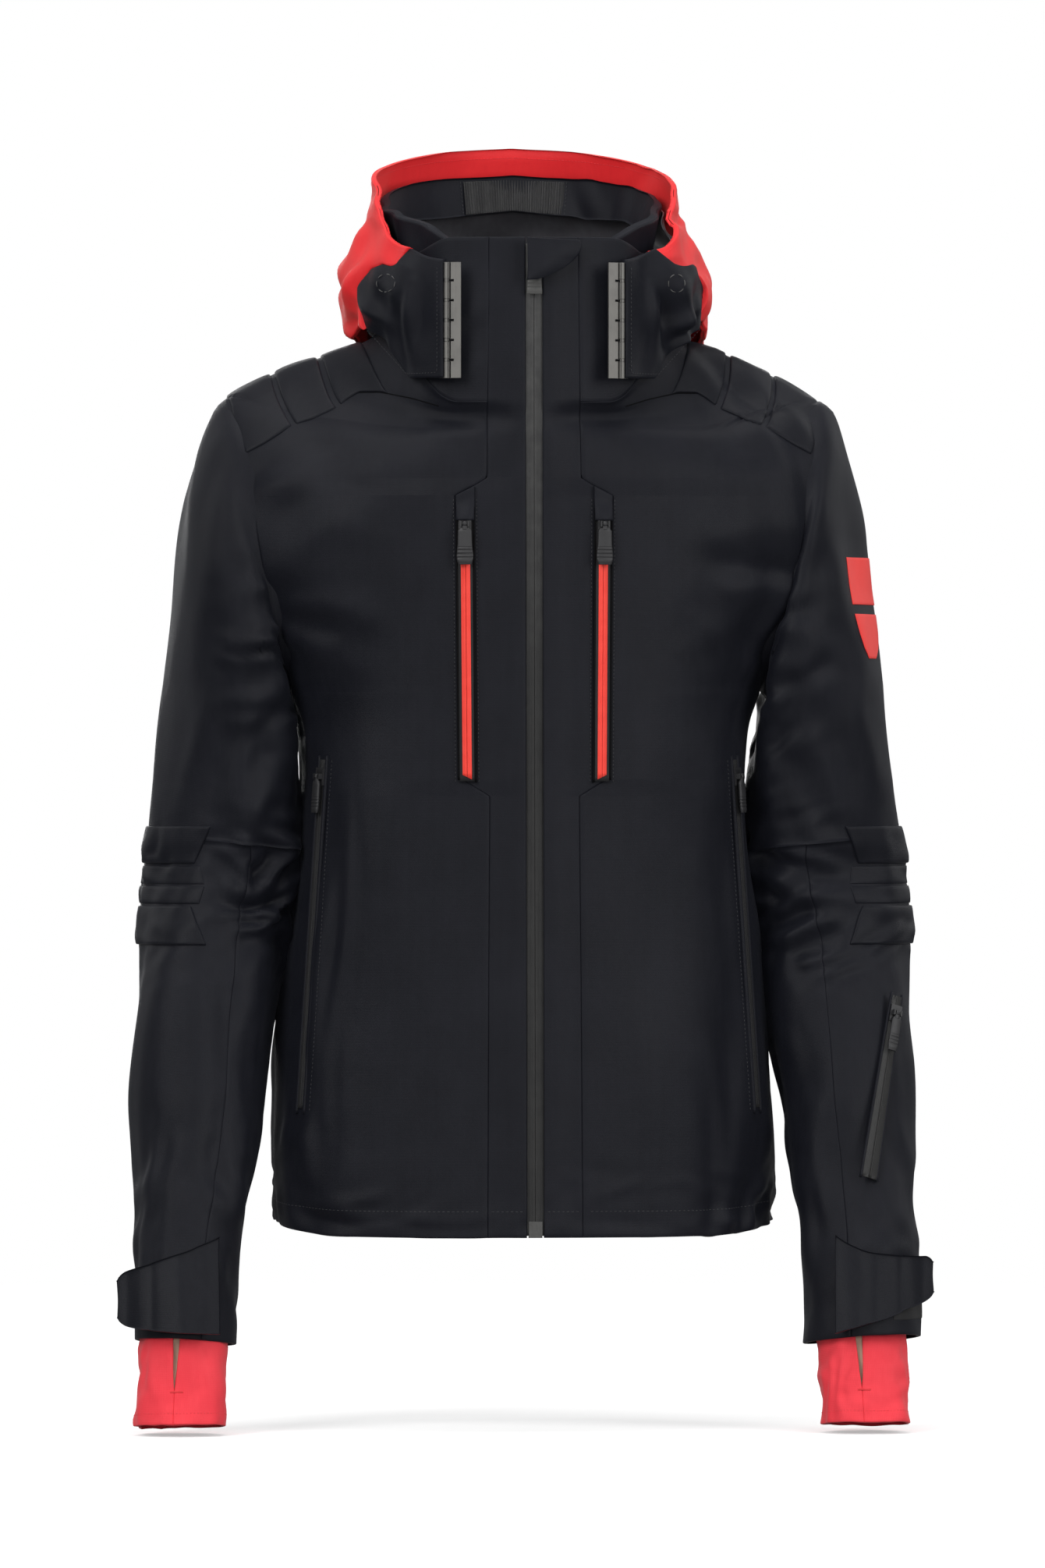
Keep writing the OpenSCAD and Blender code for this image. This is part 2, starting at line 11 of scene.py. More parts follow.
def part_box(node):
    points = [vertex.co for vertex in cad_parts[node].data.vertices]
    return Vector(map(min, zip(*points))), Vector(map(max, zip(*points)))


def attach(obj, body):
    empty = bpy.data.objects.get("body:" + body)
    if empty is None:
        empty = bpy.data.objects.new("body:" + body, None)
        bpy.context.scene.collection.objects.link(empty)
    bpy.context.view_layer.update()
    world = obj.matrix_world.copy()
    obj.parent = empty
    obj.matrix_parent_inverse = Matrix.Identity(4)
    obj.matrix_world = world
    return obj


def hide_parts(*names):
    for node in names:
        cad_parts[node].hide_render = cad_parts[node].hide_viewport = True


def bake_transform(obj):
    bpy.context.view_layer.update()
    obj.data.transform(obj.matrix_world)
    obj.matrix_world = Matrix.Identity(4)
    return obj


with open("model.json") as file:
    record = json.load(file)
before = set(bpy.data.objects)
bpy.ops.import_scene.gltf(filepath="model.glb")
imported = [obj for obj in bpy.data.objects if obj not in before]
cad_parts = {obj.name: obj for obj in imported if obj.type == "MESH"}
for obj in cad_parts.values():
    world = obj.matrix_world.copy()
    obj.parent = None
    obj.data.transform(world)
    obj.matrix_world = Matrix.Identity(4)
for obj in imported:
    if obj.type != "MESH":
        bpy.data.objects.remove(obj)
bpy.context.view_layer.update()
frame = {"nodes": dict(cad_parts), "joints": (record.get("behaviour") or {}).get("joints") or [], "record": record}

MM = 0.001
MAP_SCALE = 0.1     # map units for each millimetre of cloth
SIDES = (("left", 1), ("right", -1))


# ---- numbers and curves ----

def mix(a, b, t):
    return a + (b - a) * t


def smooth(a, b, v):
    t = np.clip((np.asarray(v, float) - a) / (b - a), 0, 1)
    return t * t * (3 - 2 * t)


def bump(a, b, c, d, v):
    """Rises from a to b and falls from c to d."""
    return smooth(a, b, v) * (1 - smooth(c, d, v))


def mound(v, middle, width):
    return np.exp(-(((v - middle) / width) ** 2))


def line(points, v):
    x, y = np.array(sorted(points), float).T
    return np.interp(v, x, y)


def spline(points, v):
    """Smooth curve through (position, value) pairs."""
    x, y = np.array(sorted(points), float).T
    slope = np.gradient(y, x)
    v = np.asarray(v, float)
    i = np.clip(np.searchsorted(x, v, side="right") - 1, 0, len(x) - 2)
    h = x[i + 1] - x[i]
    t = np.clip((v - x[i]) / h, 0, 1)
    return ((2 * t**3 - 3 * t**2 + 1) * y[i] + (t**3 - 2 * t**2 + t) * h * slope[i]
            + (3 * t**2 - 2 * t**3) * y[i + 1] + (t**3 - t**2) * h * slope[i + 1])


def spow(v, e):
    return np.sign(v) * np.abs(v) ** e


def unit(v):
    return v / np.maximum(np.linalg.norm(v, axis=-1, keepdims=True), 1e-9)


def sin_cos(degrees):
    return np.sin(np.radians(degrees)), np.cos(np.radians(degrees))


def run_length(points):
    """Distance run along a line at each of its points."""
    return np.concatenate([[0], np.cumsum(np.linalg.norm(np.diff(points, axis=0), axis=-1))])


def along_line(at, run, points):
    """Points of a line at given distances along it."""
    return np.stack([np.interp(at, run, points[:, k]) for k in range(points.shape[1])], -1)


def spread(first, span, cols):
    """Rows of evenly spaced values, each row from its own first value over its own span."""
    return first[:, None] + span[:, None] * np.linspace(0, 1, cols)


def unit_grid(rows, cols):
    return np.linspace(0, 1, rows)[:, None], np.linspace(0, 1, cols)[None]


def pillow(rows, cols, power, margins=(0.02, 0.02)):
    """Height of a stuffed cell, 1 in its middle; the margins are the shares cut off at its sides."""
    tall = np.linspace(margins[0], 1 - margins[0], rows)
    wide = np.linspace(margins[1], 1 - margins[1], cols)
    return (np.sin(math.pi * tall)[:, None] * np.sin(math.pi * wide)[None]) ** power


def waves(p, length, seed, stretch=(1, 1, 1), count=16):
    """Smooth noise of about unit height made from seeded waves of one length."""
    rng = np.random.default_rng(seed)
    k = unit(rng.normal(size=(count, 3))) / np.array(stretch, float)
    k *= 2 * math.pi / length * rng.uniform(0.6, 1.5, (count, 1))
    phase = rng.uniform(0, 2 * math.pi, count)
    return np.sin(p @ k.T + phase).sum(-1) / math.sqrt(count / 2)


def folds(p, length, seed, stretch=(1, 1, 1)):
    """Noise whose crests wander like folds in cloth."""
    bend = np.stack([waves(p, length * 2.2, seed + 101 * k, stretch) for k in (1, 2, 3)], -1)
    return waves(p + bend * length * 0.3, length, seed, stretch)


def ridge(p, a, b, width, height):
    """A fold along the segment from a to b that dies out at its ends."""
    a, b = np.array(a, float), np.array(b, float)
    d = b - a
    t = np.clip(((p - a) @ d) / (d @ d), 0, 1)
    away = np.linalg.norm(p - (a + t[..., None] * d), axis=-1)
    return height * np.exp(-((away / width) ** 2)) * np.sin(math.pi * (0.08 + 0.84 * t)) ** 0.7


def add_ridges(d, p, table):
    """Adds the folds of a table, (start, end, width, height), on the left and on the right."""
    for sx in (-1, 1):
        flip = np.array([sx, 1, 1])
        for a, b, width, height in table:
            d += ridge(p, a * flip, b * flip, width, height)
    return d


# ---- meshes ----

def normals(p, closed=False):
    du = (np.roll(p, -1, 1) - np.roll(p, 1, 1)) / 2 if closed else np.gradient(p, axis=1)
    return unit(np.cross(du, np.gradient(p, axis=0)))


def raised(p, by, closed=False):
    """The grid moved out along its normals, by one height or by one for each point."""
    return p + normals(p, closed) * (by[..., None] if np.ndim(by) else by)


def mirrored(p):
    """The grid on the other side of the jacket, still facing outwards."""
    return p[:, ::-1] * np.array([-1, 1, 1])


def pull_back(a, b, rest, share):
    """How far the spring from a to b draws a towards b."""
    d = b - a
    length = np.linalg.norm(d, axis=-1)
    return d * (share * 0.5 * (length - rest) / np.maximum(length, 1e-6))[..., None]


def spring_moves(x, along, around, slant, bend):
    """What all the springs of a closed tube of cloth do to its points in one pass."""
    fix = np.zeros_like(x)
    c = pull_back(x[:-1], x[1:], along, 1.0)
    fix[:-1] += c
    fix[1:] -= c
    c = pull_back(x, np.roll(x, -1, 1), around, 1.0)
    fix += c - np.roll(c, 1, 1)
    c = pull_back(x[:-1], np.roll(x, -1, 1)[1:], slant, 0.35)
    fix[:-1] += c
    fix[1:] -= np.roll(c, 1, 1)
    c = pull_back(x[:-2], x[2:], bend, 0.25)
    fix[:-2] += c
    fix[2:] -= c
    return fix


def drape(p, slack, seed, steps=220, limit=5.0, weight=0.03, damping=0.92, relax=0.45):
    """Cloth simulation of a closed tube that is a little too long for the gap between its fixed ends.

    Springs hold the threads at their lengths, bending springs resist sharp folds, gravity pulls the folds
    down, and the body inside and the lining's pull keep every point within the limit of the plain surface.
    Returns how far each point ends up outside that surface.
    """
    n = normals(p, True)
    x = p + n * (0.5 * folds(p, 60, seed, (1, 1, 0.6)))[..., None]
    old = x.copy()
    along = np.linalg.norm(p[1:] - p[:-1], axis=-1) * (1 + slack[1:])
    around = np.linalg.norm(np.roll(p, -1, 1) - p, axis=-1)
    slant = np.linalg.norm(np.roll(p, -1, 1)[1:] - p[:-1], axis=-1) * (1 + slack[1:] * 0.5)
    bend = np.linalg.norm(p[2:] - p[:-2], axis=-1) * (1 + slack[2:] * 0.8)
    for _ in range(steps):
        moved = (x - old) * damping
        old = x.copy()
        x = x + moved
        x[..., 2] -= weight
        for _ in range(3):
            x += spring_moves(x, along, around, slant, bend) * relax
        off = ((x - p) * n).sum(-1)
        beside = (x - p) - n * off[..., None]
        x = p + n * np.clip(off, -limit, limit * 0.7)[..., None] + beside * 0.97
        x[0], x[-1] = p[0], p[-1]
    return ((x - p) * n).sum(-1)


def roll_side(p, n, side, radius, tuck):
    """Turns one side of a sheet under: l and r are the first and last columns, b and t the rows."""
    swap, back = side in "bt", side in "rt"
    if swap:
        p, n = p.transpose(1, 0, 2), n.transpose(1, 0, 2)
    if back:
        p, n = p[:, ::-1], n[:, ::-1]
    step = p[:, 1] - p[:, 0]
    gap = np.linalg.norm(step, axis=-1, keepdims=True)
    added = []
    for share, depth in ((0, radius + tuck), (0, radius), (0.3, 0.29 * radius), (1, 0)):
        along = np.minimum(share * radius / np.maximum(gap, 1e-6), 0.8)
        added.append(p[:, 0] + step * along - n[:, 0] * depth)
    p = np.concatenate([np.stack(added, 1), p[:, 1:]], 1)
    n = np.concatenate([np.repeat(n[:, :1], len(added), 1), n[:, 1:]], 1)
    if back:
        p, n = p[:, ::-1], n[:, ::-1]
    if swap:
        p, n = p.transpose(1, 0, 2), n.transpose(1, 0, 2)
    return p, n


def grid_faces(rows, cols, closed):
    i, j = np.meshgrid(np.arange(rows - 1), np.arange(cols if closed else cols - 1), indexing="ij")
    k = (j + 1) % cols
    return np.stack([i * cols + j, i * cols + k, (i + 1) * cols + k, (i + 1) * cols + j], -1).reshape(-1, 4)


def grid_maps(faces, cols, u, v, closed):
    """Map coordinates of the faces of a grid; a closed grid needs one more u than it has columns."""
    i, j = np.divmod(faces, cols)
    wrap = closed & (j == 0) & (j[:, :1] == cols - 1)
    return np.stack([u[np.where(wrap, cols, j)], v[i]], -1)


def sheet(p, sides="lrbt", radius=0.7, tuck=1.4, thick=1.2, closed=False):
    """One solid sheet of fabric: vertices, faces, map coordinates and which faces are flat."""
    n = normals(p, closed)
    for side in sides:
        p, n = roll_side(p, n, side, radius, tuck)
    rows, cols = p.shape[:2]
    wide = np.linalg.norm(np.diff(p, axis=1), axis=-1).mean(0)
    tall = np.linalg.norm(np.diff(p, axis=0), axis=-1).mean(1)
    last_gap = np.linalg.norm(p[:, 0] - p[:, -1], axis=-1).mean()
    u = np.concatenate([[0], np.cumsum(wide), [wide.sum() + last_gap]])
    v = np.concatenate([[0], np.cumsum(tall)])
    outer = grid_faces(rows, cols, closed)
    total = rows * cols
    inner = outer[:, ::-1] + total
    index = np.arange(total).reshape(rows, cols)
    ends = [index[0][::-1], index[-1]]
    if closed:
        ends = [np.append(e, e[0]) for e in ends]
    else:
        ends += [index[:, 0], index[::-1, -1]]
    rim = np.concatenate([np.stack([e[1:], e[:-1], e[:-1] + total, e[1:] + total], -1) for e in ends])
    faces = np.concatenate([outer, inner, rim])
    coords = grid_maps(outer, cols, u, v, closed)
    maps = np.concatenate([coords, coords[:, ::-1], np.zeros((len(rim), 4, 2))])
    flat = np.zeros(len(faces), bool)
    flat[len(outer) * 2:] = True
    return np.concatenate([p.reshape(-1, 3), (p - n * thick).reshape(-1, 3)]), faces, maps, flat


def sweep(path, side, up, profile, shares=None):
    """A bar of the given profile, (across, out) pairs, drawn along a path and closed at its ends."""
    profile = np.array(profile, float)
    shares = np.ones((len(path), 2)) if shares is None else np.asarray(shares, float)
    if shares.ndim == 1:
        shares = np.stack([shares, np.ones_like(shares)], -1)
    side, up = np.broadcast_to(side, path.shape), np.broadcast_to(up, path.shape)
    p = (path[:, None] + side[:, None] * (profile[None, :, 0] * shares[:, :1])[..., None]
         + up[:, None] * (profile[None, :, 1] * shares[:, 1:])[..., None])
    rows, cols = p.shape[:2]
    faces = grid_faces(rows, cols, True)
    u = np.concatenate([run_length(profile), [0]])
    maps = grid_maps(faces, cols, u, run_length(path), True)
    across, out = profile.mean(0)
    tips = [path[k:k + 1] + up[k:k + 1] * out + side[k:k + 1] * across for k in (0, len(path) - 1)]
    a = np.arange(cols)
    b = (a + 1) % cols
    last = rows * cols
    start, end = np.full(cols, last), np.full(cols, last + 1)
    caps = np.concatenate([np.stack([b, a, start, start], -1),
                           np.stack([a + last - cols, b + last - cols, end, end], -1)])
    flat = np.concatenate([np.zeros(len(faces), bool), np.ones(len(caps), bool)])
    maps = np.concatenate([maps, np.zeros((len(caps), 4, 2))])
    return np.concatenate([p.reshape(-1, 3), *tips]), np.concatenate([faces, caps]), maps, flat


def cord(path, r, sides=8, up=(0, 0, 1)):
    """A round cord along a path."""
    t = unit(np.gradient(path, axis=0))
    side = unit(np.cross(t, np.broadcast_to(np.array(up, float) + 1e-3, t.shape)))
    a = np.arange(sides) * 2 * math.pi / sides
    return sweep(path, side, unit(np.cross(side, t)), np.stack([np.cos(a), np.sin(a)], -1) * r)


def resample(points, step):
    """Points a fixed step apart along a line of straight pieces."""
    points = np.array(points, float)
    run = run_length(points)
    at = np.linspace(0, run[-1], max(2, int(round(run[-1] / step)) + 1))
    return along_line(at, run, points)


def rounded(points, step, passes):
    """Resampled line with softened corners and fixed ends."""
    p = resample(points, step)
    for _ in range(passes):
        p[1:-1] = (p[:-2] + 2 * p[1:-1] + p[2:]) / 4
    return p


def stitches(path, n, length=2.2, gap=1.1, r=0.28, lift=0.12):
    """Separate short stitches along a path of points with their normals."""
    run = run_length(path)
    starts = np.arange(gap / 2, run[-1] - length, length + gap)
    at = starts[:, None] + np.array([0, 0.18, 0.5, 0.82, 1]) * length
    pos = along_line(at, run, path)
    up = unit(along_line(at, run, n))
    along = unit(pos[:, -1:] - pos[:, :1])
    side = unit(np.cross(np.broadcast_to(along, up.shape), up))
    size = np.array([0.25, 0.85, 1, 0.85, 0.25]) * r
    dip = np.array([-0.5, 0.6, 1, 0.6, -0.5]) * lift
    ang = np.arange(6) * math.pi / 3
    across = np.cos(ang)[None, None, :, None] * size[None, :, None, None]
    out = np.sin(ang)[None, None, :, None] * size[None, :, None, None] + dip[None, :, None, None]
    p = pos[:, :, None] + side[:, :, None] * across + up[:, :, None] * out
    tips = [[0, 5, 4, 3], [0, 3, 2, 1], [24, 25, 26, 27], [24, 27, 28, 29]]
    one = np.concatenate([grid_faces(5, 6, True), tips])
    faces = (one[None] + 30 * np.arange(len(starts))[:, None, None]).reshape(-1, 4)
    return p.reshape(-1, 3), faces, np.zeros((len(faces), 4, 2)), np.zeros(len(faces), bool)


class Skin:
    """Finds points on finished sheets by looking at them along a line."""

    def __init__(self, grids):
        points, faces, offset = [], [], 0
        for g, closed in grids:
            points.append(g.reshape(-1, 3))
            faces.append(grid_faces(*g.shape[:2], closed) + offset)
            offset += g.shape[0] * g.shape[1]
        self.tree = BVHTree.FromPolygons(np.concatenate(points).tolist(), np.concatenate(faces).tolist())

    def look(self, origins, targets):
        """Points and normals where lines from origins to targets first meet the sheets."""
        origins, targets = np.broadcast_arrays(np.array(origins, float), np.array(targets, float))
        points, ns = [], []
        for o, t in zip(origins.reshape(-1, 3), targets.reshape(-1, 3)):
            d = Vector(t - o)
            hit, n, _, _ = self.tree.ray_cast(Vector(o), d)
            if hit is None:
                hit, n, _, _ = self.tree.find_nearest(Vector(t))
            points.append(hit)
            ns.append(-n if n.dot(d) > 0 else n)
        return np.array(points, float).reshape(origins.shape), np.array(ns, float).reshape(origins.shape)

    def front(self, xz):
        """Points seen from straight in front."""
        xz = np.array(xz, float)
        y = np.zeros(xz.shape[:-1])
        return self.look(np.stack([xz[..., 0], y - 400, xz[..., 1]], -1),
                         np.stack([xz[..., 0], y, xz[..., 1]], -1))


# ---- materials ----

class Nodes:
    """Adds nodes to a material or world; each call returns the socket that holds its result."""

    def __init__(self, owner):
        owner.use_nodes = True
        self.owner, self.tree = owner, owner.node_tree

    def put(self, node, inputs):
        """Links or sets the inputs of a node."""
        for key, value in inputs.items():
            if isinstance(value, bpy.types.NodeSocket):
                self.tree.links.new(value, node.inputs[key])
            else:
                node.inputs[key].default_value = value

    def add(self, kind, inputs=None, output=0, **settings):
        node = self.tree.nodes.new("ShaderNode" + kind)
        for key, value in settings.items():
            setattr(node, key, value)
        self.put(node, inputs or {})
        return node.outputs[output]

    def maths(self, operation, a, b=0.0):
        return self.add("Math", {0: a, 1: b}, operation=operation)

    def plus(self, a, b):
        return self.maths("ADD", a, b)

    def times(self, a, b):
        return self.maths("MULTIPLY", a, b)

    def sine(self, a):
        return self.maths("SINE", a)

    def place(self):
        return self.add("TexCoord", output="Object")

    def map_axes(self):
        """The two map coordinates of the cloth."""
        split = self.add("SeparateXYZ", {0: self.add("UVMap")})
        return split, split.node.outputs[1]

    def noise(self, at, scale, detail, **more):
        return self.add("TexNoise", {"Vector": at, "Scale": scale, "Detail": detail, **more})

    def stretched(self, at, scale):
        return self.add("Mapping", {"Vector": at, "Scale": scale})

    def between(self, value, low, high, **more):
        return self.add("MapRange", {"Value": value, "To Min": low, "To Max": high, **more})

    def relief(self, height, strength, distance, **more):
        return self.add("Bump", {"Strength": strength, "Distance": distance, "Height": height, **more})

    def ramp(self, tone, low, high, dark, light):
        """Colour that goes from dark to light while the tone goes from low to high."""
        colour = self.add("ValToRGB", {"Fac": tone})
        for end, position, shade in zip(colour.node.color_ramp.elements, (low, high), (dark, light)):
            end.position, end.color = position, (*shade, 1)
        return colour

    def surface(self, **inputs):
        """Sets the inputs of the material's surface, named with _ for a space, and returns the material."""
        self.put(self.tree.nodes["Principled BSDF"], {k.replace("_", " "): v for k, v in inputs.items()})
        return self.owner


def material_nodes(name):
    return Nodes(bpy.data.materials.new(name))


def fabric(name, dark, light, roughness=0.62, sheen=0.25, weave=0.55, depth=0.25, tint=(1, 1, 1), twill=True,
           specular=0.35):
    """Woven cloth: twill or plain relief, mottled colour and a soft sheen; weave is the thread pitch."""
    m = material_nodes(name)
    u, v = m.map_axes()
    scale = 2 * math.pi / (weave * MAP_SCALE)
    across = m.sine(m.times(m.plus(u, m.times(v, 0.6 if twill else 0.0)), scale))
    along = m.sine(m.times(v, scale * (0.5 if twill else 1.0)))
    thread = m.plus(across, m.times(along, 0.35 if twill else 0.9))
    place = m.place()
    fine = m.noise(place, 900.0, 3.0)
    cloudy = m.noise(place, 22.0, 4.0, Roughness=0.6)
    streak = m.noise(m.stretched(place, (260.0, 260.0, 14.0)), 1.0, 2.0)
    crumple = m.noise(place, 55.0, 5.0)
    woven = m.relief(m.plus(m.times(thread, 0.5), m.times(fine, 1.4)), depth, 0.00022)
    uneven = m.plus(m.times(streak, 0.25), m.times(thread, 0.06))
    tone = m.plus(m.times(cloudy, 0.65), uneven)
    return m.surface(Base_Color=m.ramp(tone, 0.3, 0.85, dark, light),
                     Roughness=m.between(cloudy, roughness - 0.06, roughness + 0.07),
                     Normal=m.relief(crumple, 0.25, 0.0011, Normal=woven),
                     Sheen_Weight=sheen, Sheen_Roughness=0.45, Sheen_Tint=(*tint, 1),
                     Specular_IOR_Level=specular)


def ribbed(name, dark, light, period, depth=0.8, roughness=0.6, sheen=0.2, painted_light=None):
    """Tape or elastic with ribs one period apart. The last argument paints light on it: two heights in metres and
    how many times lighter the colour is painted at the upper one.
    """
    m = material_nodes(name)
    u, v = m.map_axes()
    scale = 2 * math.pi / (period * MAP_SCALE)
    rib = m.sine(m.times(u, scale))
    cross = m.sine(m.times(v, scale * 1.7))
    height = m.plus(rib, m.times(cross, 0.3))
    place = m.place()
    noise = m.noise(place, 120.0, 5.0)
    colour = m.ramp(m.plus(m.times(height, 0.12), m.times(noise, 0.9)), 0.25, 0.75, dark, light)
    if painted_light:
        # Painted light: the colour grows lighter with height between the two levels.
        low, high, light_gain = painted_light
        level = m.add("SeparateXYZ", {0: place}, output=2)
        light_gain = m.between(level, 1.0, light_gain, **{"From Min": low, "From Max": high})
        colour = m.add("VectorMath", {0: colour, 1: light_gain}, operation="MULTIPLY")
    return m.surface(Base_Color=colour, Normal=m.relief(height, depth, 0.0003),
                     Roughness=m.between(noise, roughness - 0.08, roughness + 0.1),
                     Sheen_Weight=sheen, Specular_IOR_Level=0.4)


def hard(name, dark, light, metallic=0.0, roughness=0.4, grain=600.0, brushed=False, edge=0.35):
    """Moulded plastic or plated metal with fine grain and worn edges."""
    m = material_nodes(name)
    place = m.place()
    noise = m.noise(m.stretched(place, (1.0, 1.0, 0.04 if brushed else 1.0)), grain, 4.0)
    blot = m.noise(place, 90.0, 4.0)
    corner = m.add("NewGeometry", output="Pointiness")
    wear = m.add("MapRange", {"Value": corner, "From Min": 0.5, "From Max": 0.58, "To Max": edge})
    tone = m.plus(m.plus(m.times(noise, 0.45), m.times(blot, 0.45)), wear)
    return m.surface(Base_Color=m.ramp(tone, 0.25, 0.8, dark, light), Normal=m.relief(noise, 0.25, 0.0001),
                     Roughness=m.between(noise, roughness - 0.08, roughness + 0.12), Metallic=metallic)


COOL = (0.8, 0.85, 1.0)     # tint of the sheen on the near-black cloth

SHELL = fabric("shell_twill", (0.0056, 0.0061, 0.0095), (0.0112, 0.0118, 0.017), tint=COOL, sheen=0.025,
               specular=0.14, roughness=0.48)
PAD = fabric("pad_stretch", (0.0052, 0.0057, 0.0088), (0.0105, 0.011, 0.0155), weave=0.8, roughness=0.46,
             tint=COOL, sheen=0.025, specular=0.14)
LINING = fabric("lining_taffeta", (0.012, 0.0125, 0.014), (0.03, 0.031, 0.035), weave=0.4, twill=False,
                roughness=0.5)
GREY_LINING = fabric("hood_lining", (0.08, 0.08, 0.09), (0.17, 0.17, 0.19), weave=0.5, twill=False,
                     roughness=0.4)
RED = fabric("red_stretch", (0.78, 0.016, 0.022), (0.93, 0.028, 0.032), roughness=0.55, weave=0.5,
             tint=(1, 0.5, 0.4), sheen=0.15, depth=0.18)
GAITER = fabric("gaiter_jersey", (0.86, 0.035, 0.055), (0.95, 0.07, 0.09), roughness=0.7, weave=0.9,
                twill=False, tint=(1, 0.6, 0.6), sheen=0.2)
CREAM = fabric("gaiter_lining", (0.6, 0.42, 0.3), (0.75, 0.58, 0.45), weave=0.8, twill=False)
# Near-black cord for the piping of the zips and yoke, also used as painted shade in the grooves and knuckle gaps
# of the hood catches.
PIPING_AND_PAINTED_SHADE = fabric("piping", (0.002, 0.002, 0.0025), (0.005, 0.005, 0.006), weave=0.5, roughness=0.6, sheen=0.0,
                specular=0.08)
# Zip tape with painted light: its colour grows up to 3.9 times lighter from 0.4 m to 0.72 m high.
GREY_TAPE = ribbed("grey_zip_tape", (0.0095, 0.0095, 0.0097), (0.0205, 0.0205, 0.02), 0.75, depth=0.35,
                   roughness=0.5, sheen=0.05, painted_light=(0.4, 0.72, 3.9))
DARK_TAPE = ribbed("dark_zip_tape", (0.005, 0.005, 0.006), (0.012, 0.012, 0.0135), 0.7, depth=0.4, sheen=0.03)
RED_TAPE = ribbed("red_zip_tape", (0.9, 0.036, 0.02), (0.97, 0.062, 0.04), 0.7, depth=0.25, roughness=0.5)
ELASTIC = ribbed("elastic", (0.006, 0.006, 0.007), (0.02, 0.02, 0.022), 1.3, depth=1.0)
THREAD = ribbed("thread", (0.014, 0.0145, 0.018), (0.03, 0.031, 0.035), 0.5, depth=0.4)
RING_THREAD = ribbed("ring_thread", (0.05, 0.05, 0.048), (0.12, 0.12, 0.115), 0.5, depth=0.4)
RED_THREAD = ribbed("red_thread", (0.7, 0.02, 0.03), (0.85, 0.05, 0.06), 0.5, depth=0.4)
GUNMETAL = hard("gunmetal", (0.07, 0.068, 0.064), (0.17, 0.165, 0.155), metallic=0.55, roughness=0.5,
                brushed=True)
DARK_METAL = hard("dark_plating", (0.012, 0.012, 0.0125), (0.05, 0.05, 0.048), metallic=0.6, roughness=0.38)
PLASTIC = hard("moulded_plastic", (0.005, 0.005, 0.006), (0.018, 0.018, 0.02), roughness=0.45)
RUBBER = hard("soft_rubber", (0.006, 0.006, 0.007), (0.019, 0.019, 0.021), roughness=0.5)
GREY_RUBBER = hard("grey_rubber", (0.03, 0.03, 0.029), (0.075, 0.075, 0.072), roughness=0.55)
PRINT = hard("red_patch", (0.86, 0.035, 0.03), (0.93, 0.055, 0.045), roughness=0.55, grain=900.0, edge=0.1)
HOOKS = hard("hook_patch", (0.003, 0.003, 0.0035), (0.014, 0.014, 0.015), roughness=0.75, grain=1500.0)


def fill_mesh(mesh, parts):
    """Puts the parts, each made by sheet, sweep or stitches, into one mesh."""
    starts = np.cumsum([0] + [len(part[0]) for part in parts])
    points = np.concatenate([part[0] for part in parts])
    quads = np.concatenate([part[1] + start for part, start in zip(parts, starts)])
    maps, flat = (np.concatenate([part[k] for part in parts]) for k in (2, 3))
    tri = quads[:, 2] == quads[:, 3]
    sizes = np.where(tri, 3, 4)
    keep = np.ones(quads.shape, bool)
    keep[tri, 3] = False
    mesh.vertices.add(len(points))
    mesh.vertices.foreach_set("co", (points * MM).astype(np.float32).ravel())
    mesh.loops.add(int(sizes.sum()))
    mesh.loops.foreach_set("vertex_index", quads[keep].astype(np.int32))
    mesh.polygons.add(len(quads))
    mesh.polygons.foreach_set("loop_start", np.concatenate([[0], np.cumsum(sizes)[:-1]]).astype(np.int32))
    mesh.polygons.foreach_set("use_smooth", ~flat)
    layer = mesh.uv_layers.new(name="UVMap")
    layer.data.foreach_set("uv", (maps[keep] * MAP_SCALE).astype(np.float32).ravel())
    mesh.update(calc_edges=True)
    mesh.validate()


def build(name, parts, material, body="root", replaces=""):
    """One object from parts."""
    mesh = bpy.data.meshes.new(name)
    fill_mesh(mesh, [parts] if isinstance(parts, tuple) else parts)
    mesh.materials.append(material)
    obj = bpy.data.objects.new(name, mesh)
    bpy.context.scene.collection.objects.link(obj)
    if isinstance(body, str):
        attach(obj, body)
    else:
        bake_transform(obj)
    if replaces:
        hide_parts(*replaces.split())


# ---- body ----

HEM_DEPTH, COLLAR_DEPTH, COLLAR_TOP = 122, 106, 735
NECK = 676          # level of the top of the body pieces
NECK_DROP = 62      # how much lower the neck seam is at the front
ARM_MID, ARM_HALF, ARM_DEPTH = 510, 108, 72
ARM_LOW, ARM_TOP = ARM_MID - ARM_HALF, ARM_MID + ARM_HALF
STEP = 3.2          # spacing of the grid of the cloth

SIDE = [(0, 185), (31, 187.5), (65, 187), (116, 184), (136, 183), (200, 176.5), (229, 173), (271, 168.5),
        (311, 165), (353, 165.5), (380, 169.5), (402, 178)]
SHOULDER = [(618, 222), (622, 215), (628, 204), (638, 184.5), (645, 165.5), (652, 148), (662, 122),
            (668, 108), (676, 98)]
SQUARE = [(0, 2.5), (300, 2.4), (500, 2.4), (560, 2.2), (600, 1.75), (640, 1.45), (652, 1.7), (664, 2.2),
          (676, 3.0)]
BACK = [(0, 117), (30, 121), (116, 120), (228, 113), (300, 108), (353, 110), (412, 117), (466, 121),
        (520, 122.5), (565, 120), (600, 112), (620, 103), (640, 91), (652, 85), (664, 80), (676, 77)]


def from_front(u):
    """Angle from the front, whichever side it is on."""
    return np.minimum(np.abs(u), np.abs(360 - u))


def front_depth(z):
    return mix(HEM_DEPTH, COLLAR_DEPTH, z / COLLAR_TOP)


def armhole_x(z):
    return mix(200, 222, (z - ARM_MID) / ARM_HALF) - 4 * mound(z, 440, 28)


def armhole_y(z):
    return ARM_DEPTH * np.sqrt(np.clip(1 - ((z - ARM_MID) / ARM_HALF) ** 2, 0, 1))


